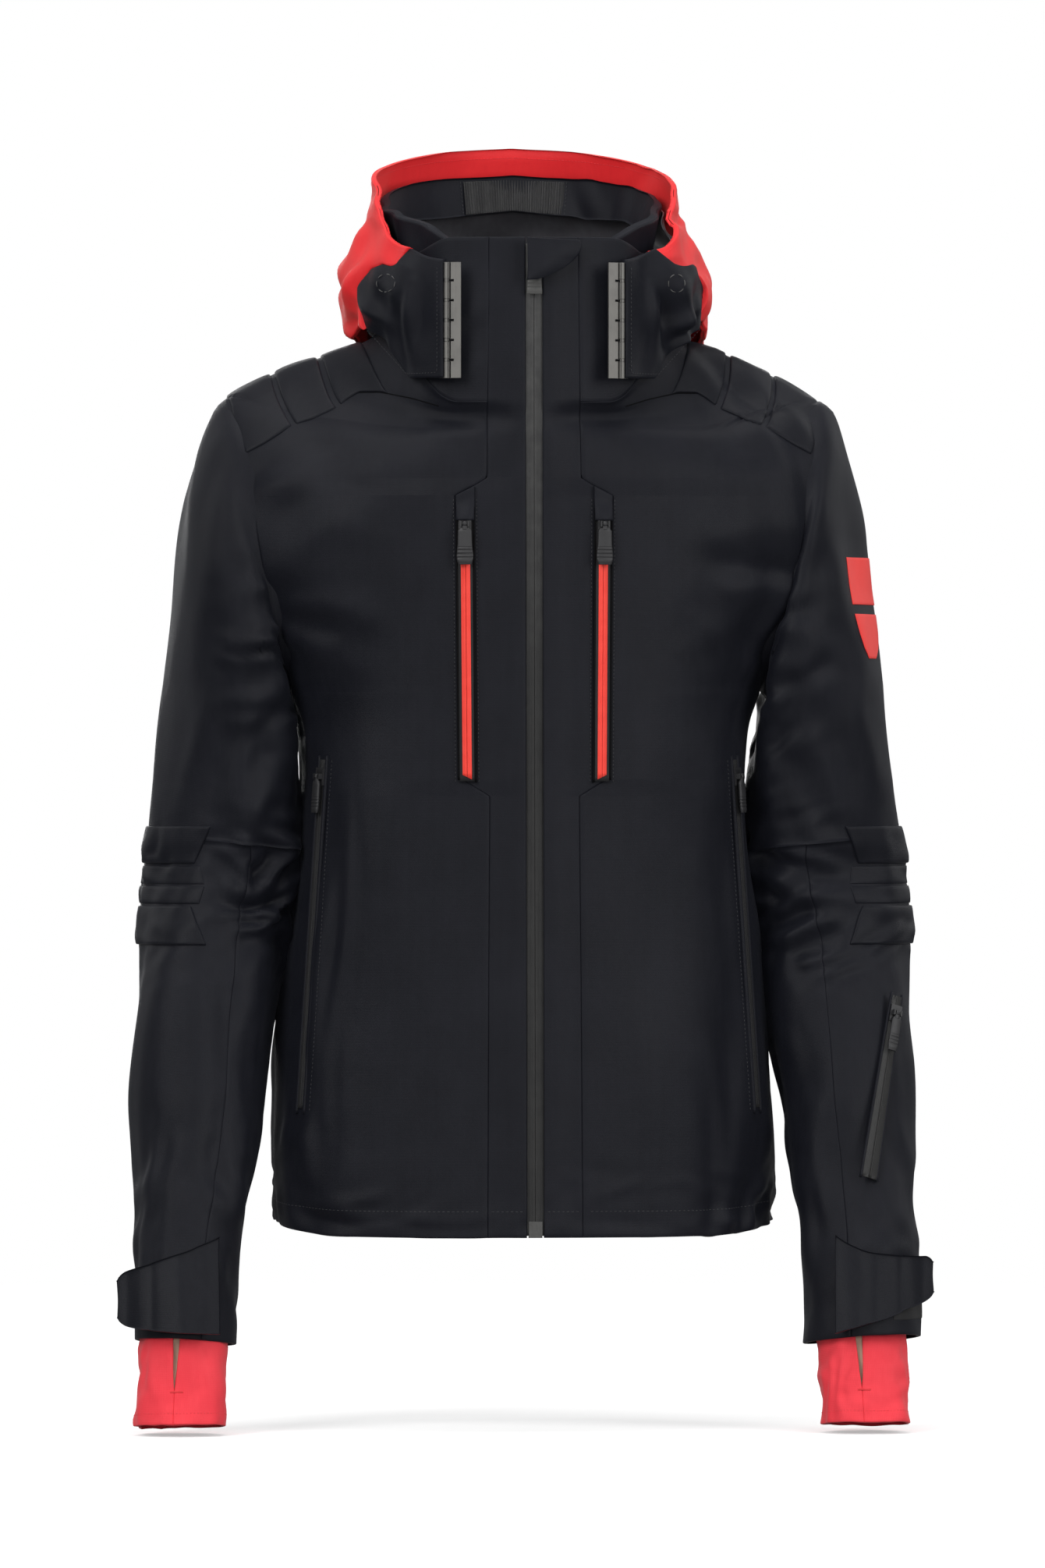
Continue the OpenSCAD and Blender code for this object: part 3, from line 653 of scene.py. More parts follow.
def half_width(z, depth):
    """Half width of the body's outline at a level, so that it passes through the armhole seam."""
    n = spline(SQUARE, z)
    through = armhole_x(z) / (1 - np.clip(armhole_y(z) / depth, 0, 0.95) ** n) ** (1 / n)
    outside = np.where(z < ARM_MID, spline(SIDE, z), spline(SHOULDER, z))
    return np.where((z > ARM_LOW) & (z < ARM_TOP), through, outside)


def neck_shift(z):
    t = np.clip((z - 560) / (NECK - 560), 0, 1)
    return (t + t * t) / 2


def neck_drop(u):
    v = from_front(u)
    return np.where(v < 90, mix(NECK_DROP, 0, smooth(25, 80, v)), mix(0, -4, smooth(90, 150, v)))


def body_point(u, z):
    """Point of the body at an angle from the front, 90 being the left side, and a level."""
    u, z = np.broadcast_arrays(np.asarray(u, float), np.asarray(z, float))
    s, c = sin_cos(u)
    n = spline(SQUARE, z)
    true_z = z - neck_drop(u) * neck_shift(z)
    true_z = true_z + 9 * np.abs(s) ** 8 * (1 - smooth(0, 60, z))
    depth = np.where(c > 0, front_depth(true_z), spline(BACK, z))
    a = half_width(z, depth)
    forward = 9 * bump(150, 260, 330, ARM_LOW, z) * np.abs(s) ** 4
    return np.stack([a * spow(s, 2 / n), -depth * spow(c, 2 / n) - forward, true_z], -1)


def angle_reaching(x, z, depth):
    """Angle at which the outline of the body reaches x."""
    return np.degrees(np.arcsin(np.clip(x / half_width(z, depth), 0, 1) ** (spline(SQUARE, z) / 2)))


def side_angle(z, back=False):
    """Angle of the side seam, or of the armhole seam between its ends."""
    u = angle_reaching(armhole_x(z), z, spline(BACK, z) if back else front_depth(z))
    u = np.where((z > ARM_LOW) & (z < ARM_TOP), u, 90)
    return 180 - u if back else u


# Distance of the placket seam from the zip, by height; it widens around the chest pockets
PLACKET = [(0, 35), (200, 34), (320, 33), (324, 33.2), (332, 46), (336, 52.5), (440, 55), (545, 58.2),
           (552.5, 43.5), (558, 34.7), (614, 34.2), (735, 33)]
PLACKET_CORNERS = [320, 324, 332, 336, 545, 552.5]


def to_level(z):
    """Level of the body that has height z at the front."""
    levels = np.linspace(0, NECK, 400)
    return np.interp(z, levels - NECK_DROP * neck_shift(levels), levels)


def collar_ring(w):
    """Half width, squareness at the front and depth behind at share w of the collar's height."""
    return mix(98, 92, w) - 1.5 * np.sin(math.pi * w), mix(3.0, 3.4, w), mix(77, 71, w)


def collar_point(u, w):
    u, w = np.broadcast_arrays(np.asarray(u, float), np.asarray(w, float))
    a, n, back = collar_ring(w)
    s, c = sin_cos(u)
    n = np.where(c > 0, n, mix(n, 2.2, 0.9))
    v = from_front(u)
    top = COLLAR_TOP - 10 * bump(28, 60, 80, 120, v) + 2 * smooth(120, 180, v)
    z = mix(NECK - neck_drop(u), top, w)
    depth = np.where(c > 0, front_depth(z), back)
    return np.stack([a * spow(s, 2 / n), -depth * spow(c, 2 / n), z], -1)


def front_point(x, z):
    """Point of the strip beside the front zip, from the hem to the top of the collar."""
    x, z = np.broadcast_arrays(np.asarray(x, float), np.asarray(z, float))
    neck = NECK - NECK_DROP
    level = to_level(np.minimum(z, neck))
    w = np.clip((z - neck) / (COLLAR_TOP - neck), 0, 1)
    a = np.where(z < neck, half_width(level, front_depth(z)), collar_ring(w)[0])
    n = np.where(z < neck, spline(SQUARE, level), collar_ring(w)[1])
    y = -front_depth(z) * (1 - np.clip(np.abs(x) / a, 0, 1) ** n) ** (1 / n)
    return np.stack([x, y, z], -1)


JOINTS = {j["name"]: j for j in frame["joints"]}


def joint_axis(name):
    return np.array(JOINTS[name]["axis"], float)


def joint_at(name):
    return np.array(JOINTS[name]["pos_m"], float) / MM


def beside_hand_zip(p):
    """How near a point is to the line of a hand pocket zip: 1 on it, 0 away from it."""
    up, at = joint_axis("hand_zip_slide_left"), joint_at("hand_puller_swing_left")
    x = at[0] + (p[..., 2] - at[2]) * up[0] / up[2]
    return mound(np.abs(p[..., 0]), x, 13) * bump(70, 92, 352, 374, p[..., 2]) * (p[..., 1] < 0)


# Creases of one side of the body: start, end, width and height
BODY_RIDGES = [
    ((178, -40, 405), (120, -100, 455), 9, 2.4), ((184, -55, 440), (130, -98, 520), 12, 2.0),
    ((180, -45, 420), (128, -98, 480), 7, -1.8), ((176, -30, 385), (150, -80, 330), 9, 1.8),
    ((182, -40, 60), (168, -70, 150), 8, 1.8), ((178, 30, 400), (130, 95, 450), 11, 2.4),
    ((150, 80, 300), (40, 108, 270), 12, 2.6), ((155, 76, 275), (50, 108, 245), 9, -1.8)]


def body_relief(p, seed):
    """How far the cloth of the body stands in or out."""
    x, y, z = np.abs(p[..., 0]), p[..., 1], p[..., 2]
    side = smooth(105, 165, x)
    calm = 1 - 0.85 * (1 - smooth(56, 92, x)) * (y < 0)
    d = 1.3 * folds(p, 190, seed, (1, 1, 1.8)) * calm + 1.3 * (1 - smooth(12, 30, x)) * (y < 0)
    d -= 1.2 * mound(x, 50.5, 5.5) * bump(325, 333, 540, 552, z) * (y < 0)
    d += 0.9 * folds(p, 85, seed + 7, (1, 1, 2.6)) * calm * (0.5 + side)
    d += 1.5 * folds(p, 42, seed + 13, (1, 1, 3.2)) * side * bump(20, 90, 280, 380, z)
    d += 1.1 * folds(p, 60, seed + 19, (1, 1, 0.5)) * bump(-20, 0, 10, 70, z) * (0.4 + side)
    d += 1.2 * folds(p, 55, seed + 23, (2.2, 1, 1)) * bump(380, 440, 520, 600, z) * smooth(90, 150, x)
    return add_ridges(d, p, BODY_RIDGES) * smooth(-5, 25, z + 12) * (1 - 0.85 * beside_hand_zip(p))


def levels_to(high, corners=()):
    """Levels one step apart from the hem up, with more rows at the corners of a seam."""
    return np.unique(np.concatenate([np.linspace(0, high, int(round(high / STEP)) + 1), corners]))


ZIP_EDGE = 6.3      # where the placket begins beside the front zip
placket_z = levels_to(COLLAR_TOP, PLACKET_CORNERS + [558])
placket_x = spread(np.full(len(placket_z), ZIP_EDGE), line(PLACKET, placket_z) - ZIP_EDGE, 16)
placket = front_point(placket_x, placket_z[:, None])

front_z = levels_to(NECK, PLACKET_CORNERS)
seam_z = front_z - NECK_DROP * neck_shift(front_z)
seam_u = angle_reaching(line(PLACKET, seam_z), front_z, front_depth(seam_z))
front_panel = body_point(spread(seam_u, side_angle(front_z) - seam_u, 62), front_z[:, None])

back_z = levels_to(NECK)
side_u = side_angle(back_z, True)
back_panel = body_point(spread(side_u, 360 - 2 * side_u, 120), back_z[:, None])

BODY_SEED = 5
PANEL_EDGE = dict(radius=0.75, tuck=1.6, thick=1.3)
placket_left, placket_right, panel_left, panel_right, back = [
    raised(g, body_relief(g, BODY_SEED))
    for g in (placket, mirrored(placket), front_panel, mirrored(front_panel), back_panel)]
for side, grids in (("left", (placket_left, panel_left)), ("right", (placket_right, panel_right))):
    build(f"front_panel_{side}_shell", [sheet(g, **PANEL_EDGE) for g in grids], SHELL,
          replaces=f"front_panel_{side}")
build("back_panel_shell", sheet(back, **PANEL_EDGE), SHELL, replaces="back_panel")

# Collar behind the placket seams
collar_w = np.linspace(0, 1, 40)
collar_ends = [np.degrees(np.arcsin(share)) for share in ((34.2 / 98) ** 1.5, (33 / 92) ** 1.7)]
collar_first = mix(*collar_ends, collar_w)
collar_u = spread(collar_first, 360 - 2 * collar_first, 150)
collar = collar_point(collar_u, collar_w[:, None])
collar_relief = 1.4 * folds(collar, 50, 31, (1, 1, 2)) * smooth(60, 90, np.minimum(collar_u, 360 - collar_u))
collar = raised(collar, collar_relief + 0.4 * folds(collar, 60, 32))
build("collar_shell_cloth", sheet(collar, **PANEL_EDGE), SHELL, replaces="collar_shell")


def lining(p, inset, **edge):
    """A thin sheet at a distance inside a grid, facing inwards."""
    return sheet((p - normals(p) * inset)[:, ::-1], thick=0.8, **edge)


lining_parts = [lining(g[2:], 9.0, sides="") for g in (front_panel, mirrored(front_panel), back_panel)]
lining_parts += [lining(g[2:], 7.0, sides="") for g in (placket, mirrored(placket))]
build("body_lining_cloth", lining_parts, LINING,
      replaces="body_lining body_insulation chest_pocket_bags hand_pocket_bags storm_flap")
build("collar_lining_cloth", lining(collar, 4.5, sides="t", radius=1.5), LINING, replaces="collar_lining")

# ---- sleeves ----

ELBOW = 258         # level of the elbow, below which the arm leans forwards
LEAN = 0.2867       # how far it comes forwards for each millimetre down
SPLIT = 8           # ring where the upper sleeve ends and the forearm piece begins


def arm_y(z):
    """Middle of the forearm from front to back."""
    return 8 - (ELBOW - z) * LEAN


RINGS = np.array([
    # outer x, outer z, inner x, inner z, half depth, centre y, forward slope
    (222, 618, 178, 402, 72, 0, 0), (231, 610, 176, 399, 74, 0, 0), (239, 592, 173, 394, 76, 0, 0),
    (247, 560, 169, 385, 77, 1, 0), (256, 512, 166, 370, 77, 3, 0), (264, 450, 163, 348, 75, 6, 0),
    (271, 380, 160, 324, 72, 9, 0), (277, 325, 158, 302, 69, 10, 0), (281, 290, 159, 280, 66, 10, 4),
    (284, 258, 162, 259, 64, 9, 10), (287.5, 194, 179, 194, 58, arm_y(194), 16),
    (290, 100, 193, 100, 52, arm_y(100), 16), (290.5, 42, 202, 42, 46, arm_y(42), 16),
    (290.5, -16, 209, -16, 42, arm_y(-16), 16), (290, -75, 212, -79, 38, arm_y(-70), 6)], float)
LAST_RING = len(RINGS) - 1
FRONT_SEAM = [(8, 101), (9, 103), (10, 106), (11, 110), (12, 109), (13, 105), (14, 103)]


def sleeve_point(s, phi):
    """Point of the left sleeve: s counts rings, and phi goes from the outside to the front."""
    s, phi = np.broadcast_arrays(np.asarray(s, float), np.asarray(phi, float))
    ids = np.arange(len(RINGS))
    ox, oz, ix, iz, depth, cy, tilt = (spline(list(zip(ids, RINGS[:, k])), s) for k in range(7))
    sin, cos = sin_cos(phi)
    c, d = spow(cos, 2 / 2.2), spow(sin, 2 / 2.2)
    tilt = np.radians(tilt)
    x = (ox + ix) / 2 + (ox - ix) / 2 * c
    z = (oz + iz) / 2 + (oz - iz) / 2 * c + depth * np.sin(tilt) * d
    return np.stack([x, cy - depth * np.cos(tilt) * d, z], -1)


def ring_steps(first, last, step):
    """Ring positions about one step apart along the middle of the sleeve."""
    fine = np.linspace(first, last, 400)
    run = run_length(sleeve_point(fine, 90.0))
    return np.interp(np.linspace(0, run[-1], int(run[-1] / step) + 1), run, fine)


# Creases of the sleeves: start, end, width and height
SLEEVE_RIDGES = [
    ((196, -62, 470), (262, -45, 330), 12, 3.0), ((192, -60, 440), (250, -55, 310), 9, -2.2),
    ((188, -55, 420), (235, -62, 300), 8, 2.4), ((186, -50, 350), (215, -62, 285), 7, 2.4),
    ((205, -66, 560), (250, -55, 430), 14, 2.0), ((215, 60, 520), (255, 50, 360), 13, 2.6),
    ((225, -75, 60), (245, -100, 5), 8, 1.6)]


def sleeve_relief(p, seed):
    x, z = np.abs(p[..., 0]), p[..., 2]
    inner = 1 - smooth(-20, 30, x - mix(232, 215, smooth(100, 400, z)))
    d = 2.0 * folds(p, 120, seed, (1, 1, 2.6))
    d += 1.5 * folds(p, 58, seed + 3, (1, 1, 2.8)) * (0.4 + inner)
    d += 2.4 * folds(p, 34, seed + 5, (1.6, 1.2, 0.7)) * bump(170, 235, 270, 330, z) * (0.25 + inner)
    d += 1.6 * folds(p, 40, seed + 9, (1.4, 1, 0.8)) * bump(330, 380, 460, 540, z) * inner
    d += 0.9 * folds(p, 40, seed + 11, (1, 1, 1.4)) * bump(-90, -40, 40, 120, z)
    return add_ridges(d, p, SLEEVE_RIDGES)


def fallen_sleeve(seed, row_step=4.2, col_step=4.5):
    """Runs the cloth simulation of a sleeve; returns how far it moves out at a ring position and an angle."""
    s, phi = ring_steps(0, LAST_RING, row_step), np.arange(0, 360, col_step)
    tube = sleeve_point(s[:, None], phi[None])
    z = tube[..., 2]
    inner = (smooth(85, 130, phi) * (1 - smooth(275, 320, phi)))[None] * smooth(20, 70, z)
    slack = inner * (0.008 + 0.045 * bump(170, 230, 300, 380, z) + 0.02 * bump(300, 380, 470, 560, z))
    out = drape(tube, slack, seed) * inner
    for _ in range(3):
        out = (np.roll(out, 1, 1) + 2 * out + np.roll(out, -1, 1)) / 4
        out[1:-1] = (out[:-2] + 2 * out[1:-1] + out[2:]) / 4

    def at_point(at, angle):
        at, angle = np.broadcast_arrays(at, angle)
        r = np.clip(np.interp(at, s, np.arange(len(s))), 0, len(s) - 1.001)
        c = (angle % 360) / col_step
        i, j = r.astype(int), c.astype(int) % len(phi)
        k, fr, fc = (j + 1) % len(phi), r - r.astype(int), c - c.astype(int)
        return mix(mix(out[i, j], out[i, k], fc), mix(out[i + 1, j], out[i + 1, k], fc), fr)

    return at_point


# How far each sleeve hangs to the left of its plain rings, by height
HANG = {"right": [(-140, -4.5), (-12, -4), (58, 0), (200, 0), (336, 4), (406, 3.5), (476, 0), (545, -3.5),
                  (580, -3), (618, 0)],
        "left": [(-140, -9.5), (-12, -7), (58, -3), (128, 0), (200, 0), (336, 3), (406, 0.6), (476, -5.5),
                 (510, -6), (560, -3), (618, 0)]}


def hang(p, side):
    """Shifts the points of a sleeve to the way it hangs; the part by the body stays."""
    x, z = np.abs(p[..., 0]), p[..., 2]
    share = mix(smooth(200, 245, x), 1.0, smooth(110, 20, z))
    q = p.copy()
    q[..., 0] += line(HANG[side], z) * share
    return q


def sleeve_pieces(side, seed):
    """Upper sleeve, and the outer and inner panels of the forearm."""
    cols = np.arange(0, 360, 3.0)[None]
    upper_s = ring_steps(0, SPLIT, STEP)[:, None]
    lower_s = ring_steps(SPLIT, LAST_RING, STEP)[:, None]
    seam = spline(FRONT_SEAM, lower_s)
    fade = smooth(0, 1.6, upper_s)
    fall = fallen_sleeve(seed)
    pieces = []
    for s, phi, share, closed in ((upper_s, cols, fade, True),
                                  (lower_s, mix(seam - 220, seam, np.linspace(0, 1, 76)[None]), 1, False),
                                  (lower_s, mix(seam, seam + 140, np.linspace(0, 1, 48)[None]), 1, False)):
        p = raised(sleeve_point(s, phi), fall(s, phi), closed)
        if side == "right":
            p = mirrored(p)
        pieces.append(hang(raised(p, sleeve_relief(p, seed) * share, closed), side))
    return pieces


def with_allowance(upper, side):
    """Adds the seam allowance that lies inside the body at the top of a sleeve."""
    inward = np.array([-12.0 if side == "left" else 12.0, 0, 0])
    shares = np.array([1.0, 0.6, 0.25])[:, None, None]
    return np.concatenate([upper[:1] + inward * shares, upper])


def shoulder_blend(side):
    """Names of the body and the upper sleeve, and the two ends of a slanted band from the outside of the upper arm
    down to the armpit.
    """
    sx = 1 if side == "left" else -1
    pivot = np.array([sx * 195, 0, 520])
    d = np.array([sx * 0.78, 0, -0.626])
    return ["root", f"upper_sleeve_{side}", Vector(pivot + d * 64), Vector(pivot + d * 126)]


def elbow_blend(side):
    return [f"upper_sleeve_{side}", f"forearm_{side}", Vector((0, 0, 288)), Vector((0, 0, 172))]


sleeves = {}
for side, seed in (("left", 41), ("right", 67)):
    upper, outer, under = sleeve_pieces(side, seed)
    sleeves[side] = Skin([(upper, True), (outer, False), (under, False)])
    tube = sheet(with_allowance(upper, side), sides="b", radius=0.8, thick=1.2, closed=True)
    build(f"upper_sleeve_{side}_cloth", tube, SHELL, shoulder_blend(side),
          replaces=f"upper_sleeve_{side} sleeve_lining_{side}")
    build(f"forearm_{side}_cloth", [sheet(g, sides="lrt", thick=1.2) for g in (outer, under)], SHELL,
          elbow_blend(side), replaces=f"forearm_{side}")

body_skin = Skin([(g, False) for g in (placket_left, placket_right, panel_left, panel_right, back, collar)])

# ---- hood ----

HOOD_LOW = [(26, 631), (46, 631.5), (50, 637), (57, 659), (66, 670), (76, 676), (90, 664), (120, 656),
            (180, 650)]
HOOD_RIM = [(26, 717), (36, 721), (43, 727), (52, 731), (60, 739), (68, 751), (76, 766), (84, 776),
            (95, 784), (120, 796), (150, 807), (180, 811)]
HOOD_WIDE = [(0, 124), (0.14, 130), (0.27, 138), (0.375, 139), (0.48, 133), (0.585, 125), (0.69, 117),
             (0.79, 114), (1.0, 112)]
HOOD_REAR = [(0, 96), (0.2, 122), (0.4, 143), (0.6, 140), (0.8, 124), (1.0, 111)]
# Angle of the seam between a flap and the crown, by share of the height
HOOD_EDGE = [(0, 66), (0.35, 69), (0.6, 64), (0.75, 57), (0.86, 48), (1.0, 44)]


def hood_aside(p):
    """Where the lower part of the hood spreads sideways: 1 at its widest, 0 near the rim and the collar."""
    return smooth(85, 120, np.abs(p[..., 0])) * (1 - smooth(725, 765, p[..., 2]))


def hood_point(u, v, t=0.0):
    """Point of the hood at an angle from the front and share v of its height, t inside its surface."""
    u, v = np.broadcast_arrays(np.asarray(u, float), np.asarray(v, float))
    w = from_front(u)
    z = mix(line(HOOD_LOW, w), spline(HOOD_RIM, w), v)
    tall = np.clip((z - 640) / 165, 0, 1)
    s, c = sin_cos(u)
    depth = np.where(c > 0, 120, spline(HOOD_REAR, tall))
    p = np.stack([(spline(HOOD_WIDE, tall) - t) * s, -(depth - t) * c, z], -1)
    p[..., 0] += 5 * hood_aside(p)
    return p


def hood_relief(p, seed):
    x, z = np.abs(p[..., 0]), p[..., 2]
    calm = 1 - 0.85 * smooth(755, 790, z)
    d = 2.0 * folds(p, 90, seed, (1, 1, 0.8)) * calm
    d += 1.4 * folds(p, 40, seed + 3, (1.5, 1.5, 0.7)) * calm * smooth(60, 115, x)
    return d + 1.0 * folds(p, 60, seed + 5) * calm


crown_v = np.linspace(0, 1, 52)
crown_first = line(HOOD_EDGE, crown_v)
crown = hood_point(spread(crown_first, 360 - 2 * crown_first, 150), crown_v[:, None])
crown = raised(crown, hood_relief(crown, 91))
build("hood_crown_cloth", sheet(crown, radius=1.0, tuck=1.0, thick=2.2), RED, "hood", replaces="hood_crown")

# Creases of a hood flap: start, end, width and height
FLAP_RIDGES = [
    ((88, -95, 700), (97, -90, 645), 6, 3.4), ((98, -88, 690), (104, -80, 650), 5, -4.0),
    ((128, -50, 690), (104, -82, 668), 6, 4.5), ((126, -50, 680), (108, -75, 660), 4, -3.5),
    ((118, -60, 712), (100, -85, 690), 8, 2.6)]
FLAP_ANGLE, FLAP_X = 29.5, 67.6     # where a flap begins beside the zip


def flap(side, seed):
    v, share = unit_grid(44, 44)
    g = hood_point(mix(FLAP_ANGLE, line(HOOD_EDGE, v), share), v, -1.5)
    g[..., 0] += (FLAP_X - g[:, :1, 0]) * (1 - share) ** 3
    g[..., 1] -= 6.5 * (1 - smooth(66, 86, np.abs(g[..., 0])))
    if side == "right":
        g = mirrored(g)
        g[..., 0] += 10 * hood_aside(g)
    x = np.abs(g[..., 0])
    d = 2.6 * folds(g, 44, seed, (1.0, 1.0, 2.0)) * smooth(76, 112, x) + 0.8 * folds(g, 70, seed + 2)
    return raised(g, 1.25 * add_ridges(d, g, FLAP_RIDGES) * smooth(67, 88, x))


flaps = {}
for side, seed in (("left", 201), ("right", 231)):
    g = flap(side, seed)
    flaps[side] = Skin([(g, False)])
    build(f"hood_flap_{side}_cloth", sheet(g, radius=1.2, tuck=0.8, thick=2.4), SHELL, "hood",
          replaces=f"hood_flap_{side}")

# Inner band round the opening, which rolls forward to the collar
BAND_TOP = [(30, 727), (38, 735), (48, 743), (60, 750), (75, 757), (90, 764), (110, 774), (140, 784),
            (180, 789)]
BAND_LOW = [(30, 690), (60, 715), (75, 728), (90, 738), (120, 752), (180, 762)]
BAND_WIDE = [(28, 108), (60, 113), (90, 112), (180, 110)]
BAND_DEPTH = [(28, 106), (60, 113), (90, 114)]


def band_point(u, v, t):
    u, v = np.broadcast_arrays(np.asarray(u, float), np.asarray(v, float))
    w = from_front(u)
    z = mix(line(BAND_LOW, w), spline(BAND_TOP, w), v)
    s, c = sin_cos(u)
    a = spline(BAND_WIDE, w) - t - 6 * (1 - v)
    depth = np.where(c > 0, spline(BAND_DEPTH, w), 106) - t - 4 * (1 - v)
    return np.stack([a * s, -depth * c, z], -1)


band_u = np.linspace(29, 331, 190)[None]
band = band_point(band_u, np.linspace(0, 1, 16)[:, None], 7.0)
band_calm = 0.35 + 0.65 * (1 - smooth(95, 140, from_front(band_u)))
band = raised(band, 1.6 * folds(band, 55, 301, (1, 1, 1.5)) * band_calm)
build("hood_rim_band_cloth", sheet(band, radius=1.6, tuck=0.5, thick=5.0), SHELL, "hood",
      replaces="hood_rim_band")
hood_inside = hood_point(np.linspace(62, 298, 90)[None], np.linspace(0.04, 0.8, 26)[:, None], 13.0)
hood_inside = raised(hood_inside, 1.6 * folds(hood_inside, 60, 321))
build("hood_lining_cloth", sheet(hood_inside[:, ::-1], sides="", thick=1.0), GREY_LINING, "hood",
      replaces="hood_lining")

# ---- gaiters ----

SLIT = {"left": 97.0, "right": 80.0}    # angle of the thumb slit


def gaiter_ring(z):
    """Centre x, half width, half depth and centre y of the wrist gaiter."""
    w = np.clip((-72 - z) / 64, 0, 1)
    return mix(252, 255.5, w), mix(33, 32.5, w), mix(31, 32, w), arm_y(z)


def gaiter(side, seed):
    z = np.linspace(-48, -138, 34)[:, None]
    slit = SLIT[side]
    phi = np.linspace(slit, slit + 360, 120)[None]
    cx, hw, hd, cy = gaiter_ring(z)
    tilt = math.radians(6)
    sin, cos = sin_cos(phi)
    c, s = spow(cos, 2 / 2.3), spow(sin, 2 / 2.3)
    p = np.stack([cx + hw * c, cy - hd * math.cos(tilt) * s, z + hd * math.sin(tilt) * s], -1)
    open_by = 2.6 * np.clip((z + 112) / 40, 0, 1) ** 0.6
    first, last = 1 - smooth(0, 18, phi - slit), 1 - smooth(0, 18, slit + 360 - phi)
    p[..., 0] += open_by * (last - first)
    if side == "right":
        p = mirrored(p)
    return hang(raised(p, 0.9 * folds(p, 45, seed, (1, 1, 1.6)) + 0.5 * folds(p, 24, seed + 4)), side)


gaiters = {"left": gaiter("left", 401), "right": gaiter("right", 431)}
for side, g in gaiters.items():
    build(f"wrist_gaiter_{side}_cloth", sheet(g, sides="lrt", radius=0.8, tuck=0.4, thick=1.4), GAITER,
          f"forearm_{side}", replaces=f"wrist_gaiter_{side}")

# ---- pads ----

YOKE = [(212, 575), (195, 584), (184, 591), (176, 597), (160, 602), (143, 610), (132, 618), (125, 622),
        (110, 622), (88, 617), (69, 611)]
RIDGE_AXIS = 560    # level of the axis that the shoulder cells are wrapped round


def shoulder_cell(sx, ridge, front, rows=64, cols=15):
    """One raised cell of a shoulder pad: its two edges on the ridge and on the front seam."""
    share = np.linspace(0, 1, cols)
    fx = mix(front[0], front[1], share)
    low = body_skin.front(np.stack([sx * fx, line(YOKE, fx)], -1))[0]
    start = np.degrees(np.arctan2(low[:, 1], low[:, 2] - RIDGE_AXIS))
    down = np.linspace(0, 1, rows)[:, None]
    sin, cos = sin_cos(mix(start[None], -0.92 * start[None], down))
    bend = np.cos(math.pi * (down - 0.5)) ** 0.8
    x = sx * mix(fx[None], mix(ridge[0], ridge[1], share)[None], bend)
    target = np.stack([x, np.zeros_like(x), np.full_like(x, RIDGE_AXIS)], -1)
    out = np.stack([np.zeros_like(x), sin * np.ones_like(x), cos * np.ones_like(x)], -1)
    p = body_skin.look(target + out * 220, target)[0]
    if sx > 0:
        p = p[:, ::-1]
    p = p[::-1]
    if (normals(p) * out[::-1]).sum(-1).mean() < 0:
        p = p[:, ::-1]
    return raised(p, 0.7 + 1.9 * pillow(rows, cols, 0.35, (0.01, 0.02)))


CELLS = [((122, 150.5), (104, 139)), ((153.5, 184.5), (142, 172)), ((187.5, 220), (175, 209.5))]
build("shoulder_pad_cells", [sheet(shoulder_cell(sx, ridge_x, front_x), radius=1.5, tuck=1.2, thick=1.4)
                             for _, sx in SIDES for ridge_x, front_x in CELLS], PAD, replaces="shoulder_pads")


def sleeve_axis(z):
    """Centre line of the left sleeve below the upper arm."""
    cx = spline([(-70, 251), (100, 240), (194, 232), (258, 227), (300, 222), (400, 222), (500, 226)], z)
    return cx, np.where(z < ELBOW, arm_y(z), 8)


def on_sleeve(side, z, angle):
    """Points of a sleeve at heights and angles from its outer side towards its front."""
    z, angle = np.broadcast_arrays(np.asarray(z, float), np.asarray(angle, float))
    cx, cy = sleeve_axis(z)
    sx = 1 if side == "left" else -1
    target = np.stack([sx * cx, cy, z], -1)
    sin, cos = sin_cos(angle)
    out = np.stack([sx * cos, -sin, np.zeros_like(sin)], -1)
    p = sleeves[side].look(target + out * 160, target)[0]
    return p[:, ::-1] if side == "right" else p


def sleeve_angle(x, z):
    """Angle round the left sleeve of the point that is seen at x and z from in front."""
    y = sleeves["left"].front(np.array([[x, z]]))[0][0][1]
    cx, cy = sleeve_axis(np.asarray(z, float))
    return np.degrees(np.arctan2(cy - y, x - cx))


def sleeve_patch(side, top, low, top_x, low_x, lift, puff, back=-72, cols=64):
    """A raised panel round the outer side of an elbow, whose front end slants from top_x to low_x."""
    z = np.linspace(top, low, max(4, int((top - low) / 2.2)))
    end = mix(sleeve_angle(top_x, top), sleeve_angle(low_x, low), np.linspace(0, 1, len(z)))[:, None]
    p = on_sleeve(side, z[:, None], mix(back, end, np.linspace(0, 1, cols)[None]))
    return raised(p, lift + puff * pillow(len(z), cols, 0.4, (0.03, 0.02)))


# Elbow and forearm pads: a thick panel and a thin one beside it, as top, low, top_x, low_x, lift and puff
ELBOW_PADS = {"elbow_pad": ((302, 274, 235, 246, 1.2, 1.8), (272.5, 259, 241, 239, 0.4, 0.6)),
              "forearm_pad": ((243, 214, 248.5, 238, 1.2, 1.8), (257.5, 244.5, 239, 243, 0.6, 0.7))}
for side, _ in SIDES:
    for pad, (thick_one, thin_one) in ELBOW_PADS.items():
        panels = [sheet(sleeve_patch(side, *thick_one), radius=1.3, tuck=1.0, thick=1.2),
                  sheet(sleeve_patch(side, *thin_one), radius=0.7, tuck=0.8, thick=0.8)]
        build(f"{pad}_{side}_panel", panels, PAD, elbow_blend(side), replaces=f"{pad}_{side}")

# Badge: a plain shield on the left upper arm in two parts. Height, first and last angle of its outline
BADGE = [(501, 11, 79), (480, 11, 77), (462, 14, 74), (445, 23, 69), (434, 34, 65), (426, 46, 60)]


